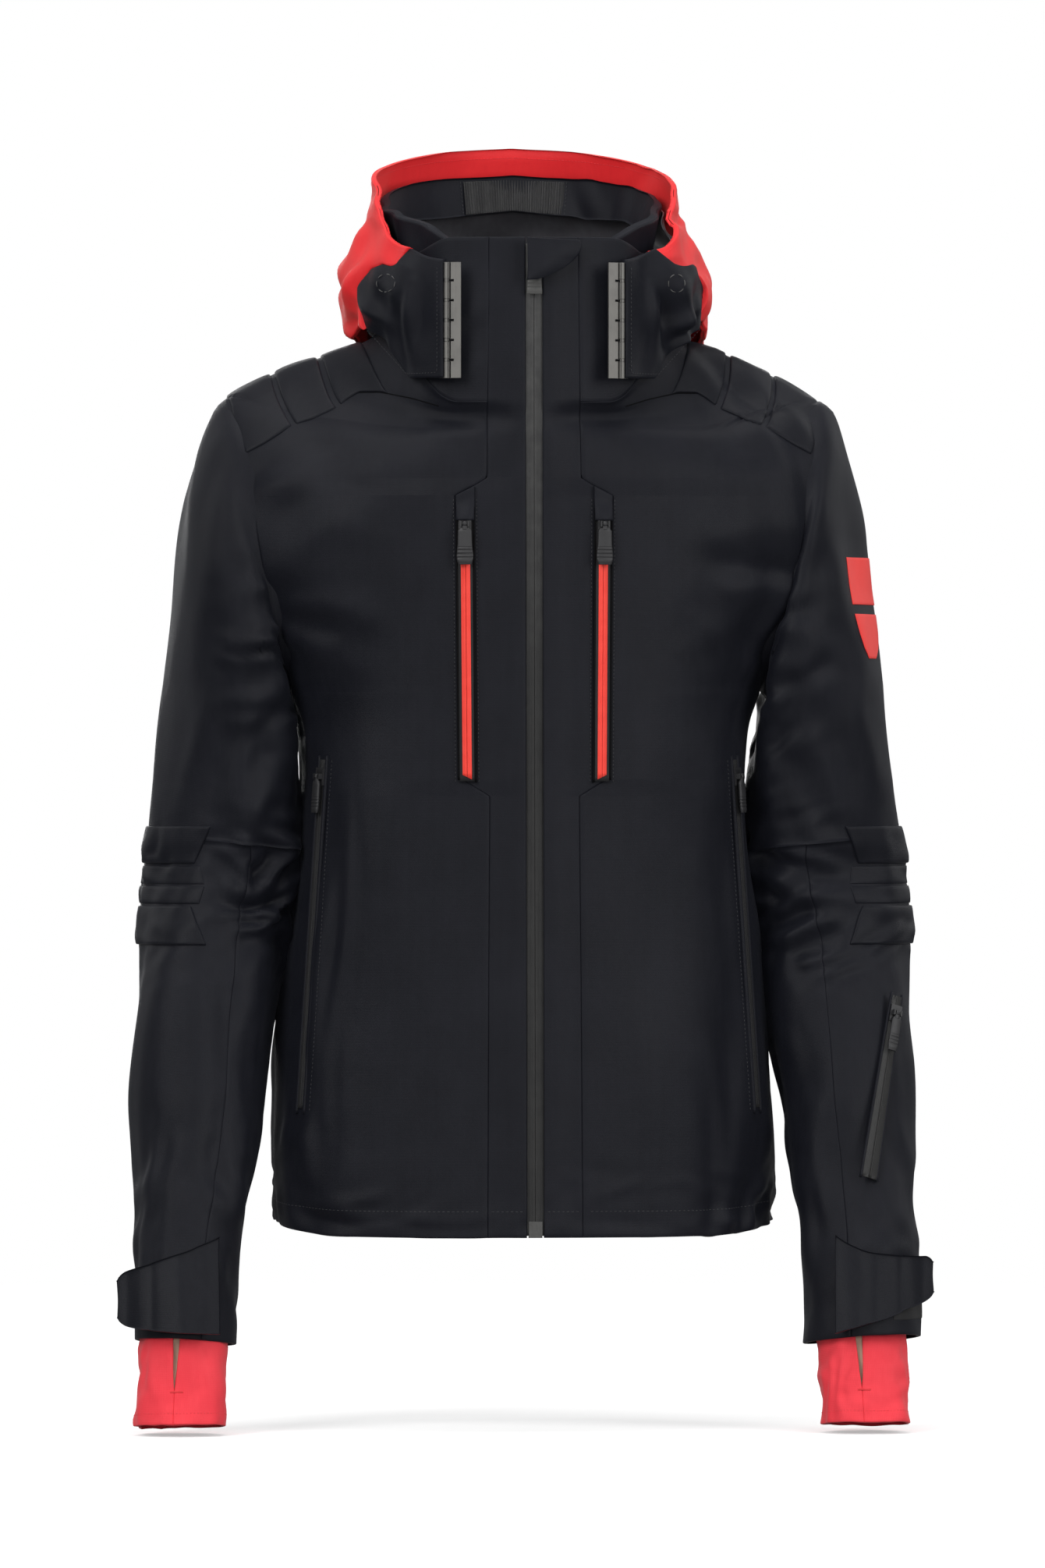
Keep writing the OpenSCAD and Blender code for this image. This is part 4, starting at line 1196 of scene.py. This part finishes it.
def badge(low, high):
    z = np.linspace(high, low, max(4, int((high - low) / 2)))[:, None]
    first, last = (line([(r[0], r[k]) for r in BADGE], z) for k in (1, 2))
    return sheet(raised(on_sleeve("left", z, mix(first, last, np.linspace(0, 1, 30)[None])), 0.7),
                 radius=0.4, tuck=0.4, thick=0.5)


build("sleeve_badge_patch", [badge(466, 501), badge(426, 459)], PRINT, shoulder_blend("left"),
      replaces="sleeve_badge")

# ---- zips ----

BAR_OUT = 5.0       # how far the bar of a slider stands in front of its tape
ZIP_STEP = 3.0


class Zip:
    """Line of a zip taken from its slider's joints."""

    def __init__(self, slide, swing):
        self.up, self.side, self.bar = unit(joint_axis(slide)), unit(joint_axis(swing)), joint_at(swing)
        out = np.cross(self.side, self.up)
        self.out = out if out[1] < 0 else -out
        self.rest = self.bar - self.out * BAR_OUT
        if self.side[0] < 0:
            self.side = -self.side

    def path(self, low, high, step=ZIP_STEP, out=0.0, across=0.0):
        """Points along the tape between two heights."""
        z = np.linspace(low, high, max(2, int((high - low) / step)))
        p = self.rest + (z - self.rest[2])[:, None] / self.up[2] * self.up
        return p + self.out * out + self.side * across

    def bar_along(self, path, profile, shares=None):
        return sweep(path, self.side, self.out, profile, shares)

    def tape(self, low, high, width, out=0.2, shares=None, slant=0.0):
        """Both halves of the tape, with the ridge over the coil in the middle and a slanted lower end."""
        half = [(0.12, -0.5), (0.12, 0.25), (0.4, 0.5), (1.3, 0.55), (1.7, 0.25), (width / 2 - 0.2, 0.2),
                (width / 2, 0), (width / 2, -0.5)]
        other = [(-a, b) for a, b in half][::-1]
        path = self.path(low, high, out=out)
        sides = np.tile(self.side, (len(path), 1))
        sides[0] += self.up * slant
        return [sweep(path, sides, self.out, profile, shares) for profile in (half, other)]

    def stitching(self, low, high, across, **size):
        """A row of stitches on the cloth beside the zip."""
        row = self.path(low, high, across=across)
        return stitches(*body_skin.front(rounded(row[:, [0, 2]], 2.0, 2)), **size)


ROUND = np.array([(math.cos(a), math.sin(a)) for a in np.arange(12) * math.pi / 6])
BOX = [(-1, -0.7), (-0.86, -1), (0.86, -1), (1, -0.7), (1, 0.7), (0.8, 1), (-0.8, 1), (-1, 0.7)]


def puller(z, length, widths, thick=2.4, ribs=3):
    """An eye round the bar and a faceted plate with grip ribs. Widths are (share of length, half width)."""
    s = np.linspace(0, 1, 60)
    path = z.bar - z.up * (3.2 + s * (length - 3.2))[:, None]
    grip = bump(0.5, 0.53, 0.82, 0.85, s)
    rib = np.sin(s * math.pi * 2 * ribs / 0.32) > 0.2
    depth = np.full_like(s, thick / 2) * (1 - 0.28 * grip) + 0.42 * grip * rib
    depth *= 1 - 0.35 * smooth(0.9, 1.0, s) - 0.2 * smooth(0.08, 0.0, s)
    plate = z.bar_along(path, BOX, np.stack([line(widths, s), depth], -1))
    neck = z.bar_along(z.bar - z.up * np.linspace(1.2, 4.5, 6)[:, None], BOX, np.tile([1.8, 1.1], (6, 1)))
    a = np.linspace(0, 2 * math.pi, 25)[:-1]
    circle = z.bar + (np.cos(a)[:, None] * z.out + np.sin(a)[:, None] * np.cross(z.side, z.out)) * 1.55
    loop = np.concatenate([circle, circle[:1]])
    eye = sweep(loop, z.side, unit(loop - z.bar), [(-1.7, -0.45), (1.7, -0.45), (1.7, 0.45), (-1.7, 0.45)])
    return [plate, neck, eye]


def build_puller(z, body, length, widths, material):
    build(f"{body}_plate", puller(z, length, widths), material, body, replaces=body)


CHEST_PULL = [(0, 3.4), (0.08, 5.1), (0.45, 5.3), (0.76, 6.2), (0.86, 6.0), (1, 4.9)]
SLIM_PULL = [(0, 2.6), (0.1, 3.6), (0.8, 3.8), (1, 3.2)]
FRONT_PULL = [(0, 3.0), (0.1, 4.4), (0.6, 5.0), (1, 5.9)]

front = Zip("front_zip_slide", "front_puller_swing")
build("front_zip_tape", front.tape(1.5, 730, 12.6), GREY_TAPE, replaces="front_zip")
build_puller(front, "front_puller", 29, FRONT_PULL, GREY_RUBBER)


def chest_cap(z, sx):
    """Fabric garage over the top of a chest zip."""
    rows, cols = unit_grid(14, 14)
    across = cols * 2 - 1
    height = mix(526.5, 548.5 - 3.4 * across, rows)
    centre = z.path(526.5, 556, 1.0)
    mid = np.stack([np.interp(height, centre[:, 2], centre[:, k]) for k in range(3)], -1)
    cap = mid + sx * z.side * (across * 7.2 * np.ones_like(rows))[..., None]
    bulge = mix(4.6, 1.0, smooth(0.0, 0.75, rows)) * (1 - 0.55 * np.abs(across) ** 3)
    cap = cap + z.out * bulge[..., None]
    return sheet(cap[:, ::-1] if sx < 0 else cap, radius=0.8, tuck=1.6, thick=1.0)


BACK_STRIP = [(-5.6, -1.2), (-5.6, 0.1), (-5.2, 0.35), (5.2, 0.35), (5.6, 0.1), (5.6, -1.2)]
tapes, backing, caps, piping, seams = [], [], [], [], []
for side, sx in SIDES:
    z = Zip(f"chest_zip_slide_{side}", f"chest_puller_swing_{side}")
    tapes += z.tape(338, 530, 6.9, 0.9, slant=0.5 * sx)
    backing.append(z.bar_along(z.path(335, 532, out=0.3), BACK_STRIP))
    for across in (-6.3, 6.3):
        low = 336 if across * sx > 0 else 334
        piping.append(z.bar_along(z.path(low, 536, across=across), ROUND * (0.85, 1.3)))
    seams += [z.stitching(334, 545, across, length=1.7, gap=1.2, r=0.24) for across in (-8.6, 8.6)]
    caps.append(chest_cap(z, sx))
    build_puller(z, f"chest_puller_{side}", 30, CHEST_PULL, RUBBER)
build("chest_zip_tapes", tapes, RED_TAPE, replaces="chest_zips")
build("chest_zip_backing", backing, DARK_TAPE)
build("chest_zip_caps", caps, SHELL)
build("zip_piping", piping, PIPING_AND_PAINTED_SHADE)

tapes, lips = [], []
for side, sx in SIDES:
    z = Zip(f"hand_zip_slide_{side}", f"hand_puller_swing_{side}")
    tapes += z.tape(94, 351, 7)
    lips += [z.bar_along(z.path(90, 354, out=-0.6, across=across), ROUND * (1.5, 1.9))
             for across in (-4.4, 4.4)]
    seams.append(z.stitching(92, 352, -10.5 * sx, length=1.8, gap=1.3, r=0.22))
    build_puller(z, f"hand_puller_{side}", 27, SLIM_PULL, RUBBER)
build("hand_zip_tapes", tapes, DARK_TAPE, replaces="hand_zips")
build("zip_lips", lips, SHELL)

z = Zip("pass_zip_slide", "pass_puller_swing")
narrowing = mix(1.0, 0.62, np.linspace(0, 1, len(z.path(43, 176))))
build("pass_zip_tape", z.tape(43, 176, 13, 0.3, narrowing), GREY_TAPE, "forearm_left", replaces="pass_zip")
build_puller(z, "pass_puller", 29, SLIM_PULL, RUBBER)
lips = []
for across in (-6.8, 6.8):
    path = z.path(42, 178, out=-0.5)
    path = path + z.side * (across * mix(1.0, 0.66, np.linspace(0, 1, len(path))))[:, None]
    lips.append(z.bar_along(path, ROUND * (1.0, 1.4)))
build("pass_zip_lips", lips, SHELL, "forearm_left")

# Garage over the top of the front zip
GARAGE = [(0, 1.5), (0.08, 8), (0.2, 16), (0.5, 29), (0.85, 34.5), (1, 33.5)]
rows, cols = unit_grid(22, 26)
garage_x = mix(-5.6, spline(GARAGE, rows), cols)
garage_z = mix(703, 734.5 - 2 * cols, rows)
garage_y = -front_depth(garage_z) - 12.2 - 1.2 * np.sin(math.pi * cols) * np.sin(math.pi * rows)
garage_y = garage_y + 3.5 * cols ** 2 * np.minimum(1, rows * 2) - 2.0 * (1 - rows) * (1 - cols)
build("zip_garage_flap", sheet(np.stack([garage_x, garage_y, garage_z], -1), radius=0.7, tuck=0.6, thick=1.4),
      SHELL, replaces="zip_garage")

# ---- cuffs ----

# Shape of a closing strap at seven places from its seam to its free end
TAB_LINE = np.array([(229, -5), (240, -2), (254, -2.5), (268, -6), (278, -11), (290, -17), (301, -21)], float)
TAB_TOP = {"left": (0, -7, -12, -14, -15, -15.5, -16), "right": (0, -5, -10.5, -15.5, -19.5, -23.5, -28)}
TAB_LOW = {"left": (-71, -67.5, -63.5, -59, -54.5, -50, -46),
           "right": (-70, -69.5, -69, -68, -67, -65.5, -63)}


def cuff_tab(side):
    """Closing strap of a cuff, from its seam at the inner front round to its free end."""
    k = np.linspace(0, 6, 56)[None]
    top, low, x, bend = (spline(list(enumerate(values)), k)
                         for values in (TAB_TOP[side], TAB_LOW[side], TAB_LINE[:, 0], TAB_LINE[:, 1]))
    w = np.linspace(0, 1, 26)[:, None]
    near_end = 5.5 * (1 - np.sqrt(1 - np.clip((k - 5.45) / 0.56, 0, 0.999) ** 2))
    z = mix(top - near_end, low + near_end, w)
    y = arm_y(z) - 44.7 + (-bend - 1) * 0.9 - 2.6
    y = y + 0.8 * mound(x, 277, 3) - 0.8 * np.sin(math.pi * w) + 0.5 * np.sin(x / 9 + z / 17)
    y = y - 3.6 * bump(244, 260, 284, 296, x)
    p = np.stack([x * np.ones_like(w), y, z], -1)
    return hang(p if side == "left" else mirrored(p), side)


def slit_backing(side):
    """Pale lining that shows in the slit of the gaiter."""
    z = np.linspace(-52, -118, 20)[:, None]
    cx, hw, hd, cy = gaiter_ring(z)
    phi = np.radians(SLIT[side] + np.linspace(-13, 13, 9))[None]
    p = np.stack([cx + (hw - 3.4) * np.cos(phi), cy - (hd - 3.4) * 0.96 * np.sin(phi), z + 0 * phi], -1)
    return hang(mirrored(p) if side == "right" else p, side)


def gaiter_thread(side, under_slit):
    """The bar tack under the slit and the stitched hem of a gaiter."""
    g = gaiters[side]
    skin = Skin([(g, False)])
    thread = []
    for k in range(26):
        x, _, z = under_slit + np.array([(k - 12.5) * 0.36, 0, 3.0 + 0.25 * (k % 2)])
        pos, n = skin.front(np.array([[x, z - 1.1], [x, z + 1.1]]))
        thread.append(stitches(pos, n, length=1.7, gap=0.1, r=0.3, lift=0.35))
    return thread + [stitches(g[-4], normals(g)[-4], length=1.6, gap=1.0, r=0.2)]


HOOK_HEIGHTS = {"left": (-22, -61), "right": (-34, -60)}
for side, _ in SIDES:
    build(f"cuff_tab_{side}_strap", sheet(cuff_tab(side), radius=1.1, tuck=0.4, thick=2.0), PAD,
          f"cuff_tab_{side}", replaces=f"cuff_tab_{side}")
    forearm = f"forearm_{side}"
    patch = on_sleeve(side, np.linspace(*HOOK_HEIGHTS[side], 18)[:, None], np.linspace(12, 72, 26)[None])
    build(f"hook_patch_{side}", sheet(raised(patch, 0.5), radius=0.5, tuck=0.3, thick=0.7), HOOKS, forearm)
    pale = slit_backing(side)
    build(f"gaiter_lining_{side}", sheet(pale, sides="", thick=0.8), CREAM, forearm)
    build(f"gaiter_tack_{side}", gaiter_thread(side, pale[18, 4]), RED_THREAD, forearm)

# ---- hood trims ----

rim = np.argmin(np.abs(crown_v - 0.965))
rim_p, rim_n = crown[rim], normals(crown)[rim]
build("hood_rim_topstitch", [stitches(p, n, length=1.6, gap=1.0, r=0.2)
                             for p, n in ((rim_p - rim_n * 2.3, -rim_n), (rim_p, rim_n))], RED_THREAD, "hood")

STRIP_SEAM = [(71.5, 713), (71.5, 635), (104, 635)]     # stitches round the strip of a hood catch
flap_thread, rings = [], []
for side, sx in SIDES:
    pos, n = flaps[side].front(rounded([(sx * x, z) for x, z in STRIP_SEAM], 2.0, 1))
    flap_thread.append(stitches(pos + n * 0.1, n, length=1.7, gap=1.4, r=0.22))
    a = np.linspace(0, 2 * math.pi, 41)
    pos, n = flaps[side].front(np.stack([sx * 107 + 6.2 * np.sin(a), 702 + 6.6 * np.cos(a)], -1))
    rings.append(stitches(pos + n * 0.15, n, length=4.6, gap=2.2, r=0.34))
build("hood_flap_stitches", flap_thread, THREAD, "hood")
build("hood_flap_rings", rings, RING_THREAD, "hood")

CATCH_YAW = math.radians(22)
KNUCKLES, KNUCKLE_GAP = 6, 2.6
UP = np.array([0, 0, 1.0])


def catch_lines(side, sx):
    """Painted shade of a hood catch: near-black bars in the gaps between its knuckles, and thin near-black cords
    in place of its grooves, one on its leaf and two beside it.
    """
    pin = joint_at(f"catch_leaf_turn_{side}")
    low, high = (v[2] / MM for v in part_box(f"hood_leaf_{side}"))
    across = np.array([math.cos(CATCH_YAW), sx * math.sin(CATCH_YAW), 0])
    out = np.array([sx * math.sin(CATCH_YAW), -math.cos(CATCH_YAW), 0])
    pitch = (high - low + KNUCKLE_GAP) / KNUCKLES

    def spot(t, z, lift):
        return np.array([pin[0], pin[1], z]) + across * sx * t + out * lift

    def groove_shade(t, lift):
        path = np.array([spot(t, z, lift) for z in (low + 0.3, high - 0.3)])
        return sweep(path, across, out, ROUND * (0.18, 0.25))

    slot_shades = []
    for k in range(1, KNUCKLES):
        z = low + k * pitch - KNUCKLE_GAP / 2
        path = np.array([spot(t, z, 0.75) for t in (-5.6, -5.2, -2.6, -2.2)])
        slot_shades.append(sweep(path, UP, out, ROUND * (0.85, 0.4)))
    return slot_shades + [groove_shade(-3.1, 0.62)], [groove_shade(-1.6, 1.9), groove_shade(1.4, 2.1)]


# Painted shade: near-black bars and cords where the gaps and grooves of each hood catch are dark.
for side, sx in SIDES:
    shade_on_leaf, beside = catch_lines(side, sx)
    build(f"hood_catch_painted_groove_shade_{side}", beside, PIPING_AND_PAINTED_SHADE, "hood")
    build(f"hood_leaf_painted_slot_shade_{side}", shade_on_leaf, PIPING_AND_PAINTED_SHADE, f"hood_leaf_{side}")

# Elastic gathered into the back of the rim band, between two rows of stitches
elastic_u = np.linspace(157, 203, 220)[None]
elastic_v = np.linspace(0.06, 0.93, 14)[:, None]
gathers = -0.55 * np.sin(elastic_u * 2 * math.pi / 1.25) * np.sin(math.pi * elastic_v) ** 0.3
elastic = raised(band_point(elastic_u, elastic_v, 12.6), gathers)
build("hood_rim_elastic", sheet(elastic[:, ::-1], radius=0.5, tuck=0.4, thick=0.6), ELASTIC, "hood")
band_thread = []
for at in (155.8, 204.2):
    pos = band_point(np.full(30, at), np.linspace(0.06, 0.94, 30), 12.2)
    band_thread.append(stitches(pos, unit(-pos * np.array([1, 1, 0])), length=1.7, gap=1.2, r=0.24))
build("hood_band_stitches", band_thread, THREAD, "hood")

# ---- inside the body ----

a = np.linspace(0, 2 * math.pi, 49)
radial = np.stack([np.cos(a), np.sin(a), 0 * a], -1)
loop_path = np.array([0, 49.5, 700]) + radial * (14.7 + 0.25 * np.sin(3 * a))[:, None]
RIBBON = [(-4, -0.6), (-3.7, -0.7), (3.7, -0.7), (4, -0.6), (4, 0.6), (3.7, 0.7), (-3.7, 0.7), (-4, 0.6)]
build("hanger_loop_ribbon", sweep(loop_path, UP, radial, RIBBON), ELASTIC, replaces="hanger_loop")

skirt_u, skirt_z = np.linspace(14, 346, 260)[None], np.linspace(95, 185, 34)[:, None]
gather = np.sin(skirt_u * 1.9 + 1.5 * np.sin(skirt_u * 0.11)) * smooth(140, 100, skirt_z) * 1.6
skirt = body_point(skirt_u, skirt_z)
skirt = raised(skirt, -(mix(13.0, 20.0, smooth(180, 100, skirt_z)) + gather))
build("powder_skirt_cloth", sheet(skirt, radius=0.8, tuck=0.6, thick=1.0), LINING, replaces="powder_skirt")

CORD_Z = 14.0       # level of the drawcord above the hem
cord_u = np.linspace(16, 344, 220)
cord_path = body_point(cord_u, CORD_Z)
cord_path = cord_path - unit(cord_path * np.array([1, 1, 0])) * (12 + 0.5 * np.sin(cord_u / 3))[:, None]
cord_path[:, 2] = CORD_Z + 1.2 * np.sin(cord_u / 9)
build("hem_drawcord_rope", cord(cord_path, 1.4), ELASTIC, replaces="hem_drawcord")

# ---- small trims ----

HEM_ROW = 6
for g in (panel_left, panel_right, back, placket_left, placket_right):
    seams.append(stitches(g[HEM_ROW, 1:-1], normals(g)[HEM_ROW, 1:-1], length=2.0, gap=1.5, r=0.2, lift=0.05))
build("fabric_stitches", seams, THREAD)

# Yoke: a seam from the pads to the chest
yoke = []
for _, sx in SIDES:
    path = rounded([(sx * x, z) for x, z in YOKE[7:]], 2.0, 3)
    yoke.append(cord(body_skin.front(path)[0], 0.45, up=(0, 1, 0)))
build("yoke_seams", yoke, PIPING_AND_PAINTED_SHADE)

# ---- camera, light and stage; lengths here are metres ----

MIDDLE = (0, 0, 0.4)


def area(name, at, size, power, aim=MIDDLE):
    light = bpy.data.lights.new(name, "AREA")
    light.shape, light.size, light.size_y, light.energy = "RECTANGLE", size[0], size[1], power
    obj = bpy.data.objects.new(name, light)
    obj.location = at
    obj.rotation_euler = (Vector(aim) - Vector(at)).to_track_quat("-Z", "Y").to_euler()
    bpy.context.scene.collection.objects.link(obj)


def camera(distance=9.0, frame_height=1.1658, azimuth=math.radians(-4.5), aim=Vector((0, 0, 0.333))):
    """Far camera with a long lens, turned as the jacket is in the photo."""
    data = bpy.data.cameras.new("camera")
    data.lens = 36 * distance / frame_height
    data.clip_end = 60
    cam = bpy.data.objects.new("camera", data)
    cam.location = aim + Vector((math.sin(azimuth), -math.cos(azimuth), 0)) * distance
    cam.rotation_euler = (aim - cam.location).to_track_quat("-Z", "Y").to_euler()
    bpy.context.scene.collection.objects.link(cam)
    bpy.context.scene.camera = cam


def paper():
    """Pale floor that turns to plain white away from the jacket."""
    m = material_nodes("floor_paper")
    seen = m.add("LightPath", output="Is Camera Ray")
    away = m.add("VectorMath", {0: m.place()}, output="Value", operation="LENGTH")
    far = m.add("MapRange", {"Value": away, "From Min": 0.9, "From Max": 2.6})
    pale = m.times(m.between(seen, 0.3, 0.86), m.maths("SUBTRACT", 1.0, far))
    return m.surface(Base_Color=pale, Emission_Strength=m.times(seen, m.between(far, 0.4, 1.0)),
                     Emission_Color=(1, 1, 1, 1), Roughness=0.9, Specular_IOR_Level=0.0)


def backdrop(radius=60, level=-0.1445):
    a = np.linspace(0, 2 * math.pi, 65)[:-1]
    verts = [(radius * math.cos(t), radius * math.sin(t), level) for t in a]
    mesh = bpy.data.meshes.new("floor")
    mesh.from_pydata(verts, [], [list(range(len(verts)))])
    mesh.materials.append(paper())
    obj = bpy.data.objects.new("floor", mesh)
    bpy.context.scene.collection.objects.link(obj)


camera()
backdrop()
area("key", (-2.4, -3.0, 2.3), (1.6, 2.2), 82)
area("fill", (2.8, -2.6, 1.6), (1.8, 2.4), 60, (0, 0, 0.35))
area("top", (0, -0.4, 3.2), (2.4, 1.6), 40)
area("rim_left", (-2.2, 1.4, 1.6), (0.8, 2.2), 10)
area("rim_right", (2.2, 1.4, 1.6), (0.8, 2.2), 10)
area("back", (0, 4.2, 1.3), (2.6, 2.2), 46)
area("front", (0, -4.5, 0.3), (2.2, 1.2), 44)

world = bpy.data.worlds.new("studio")
sky = Nodes(world)
glow = sky.between(sky.add("LightPath", output="Is Camera Ray"), 0.3, 1.0)
sky.put(sky.tree.nodes["Background"], {0: (1, 1, 1, 1), 1: glow})
bpy.context.scene.world = world
bpy.context.scene.view_settings.view_transform = "Standard"

# Nodes of the frame that no cloth piece replaces are hardware, and keep their own shape
kinds = {part["node"]: part["material_slot"] for part in frame["record"]["subparts"]}
for name, node in frame["nodes"].items():
    metal = GUNMETAL if name.startswith("hood_") else DARK_METAL
    node.data.materials.clear()
    node.data.materials.append({"moulded_hardware": PLASTIC, "gunmetal": metal}.get(kinds[name], SHELL))
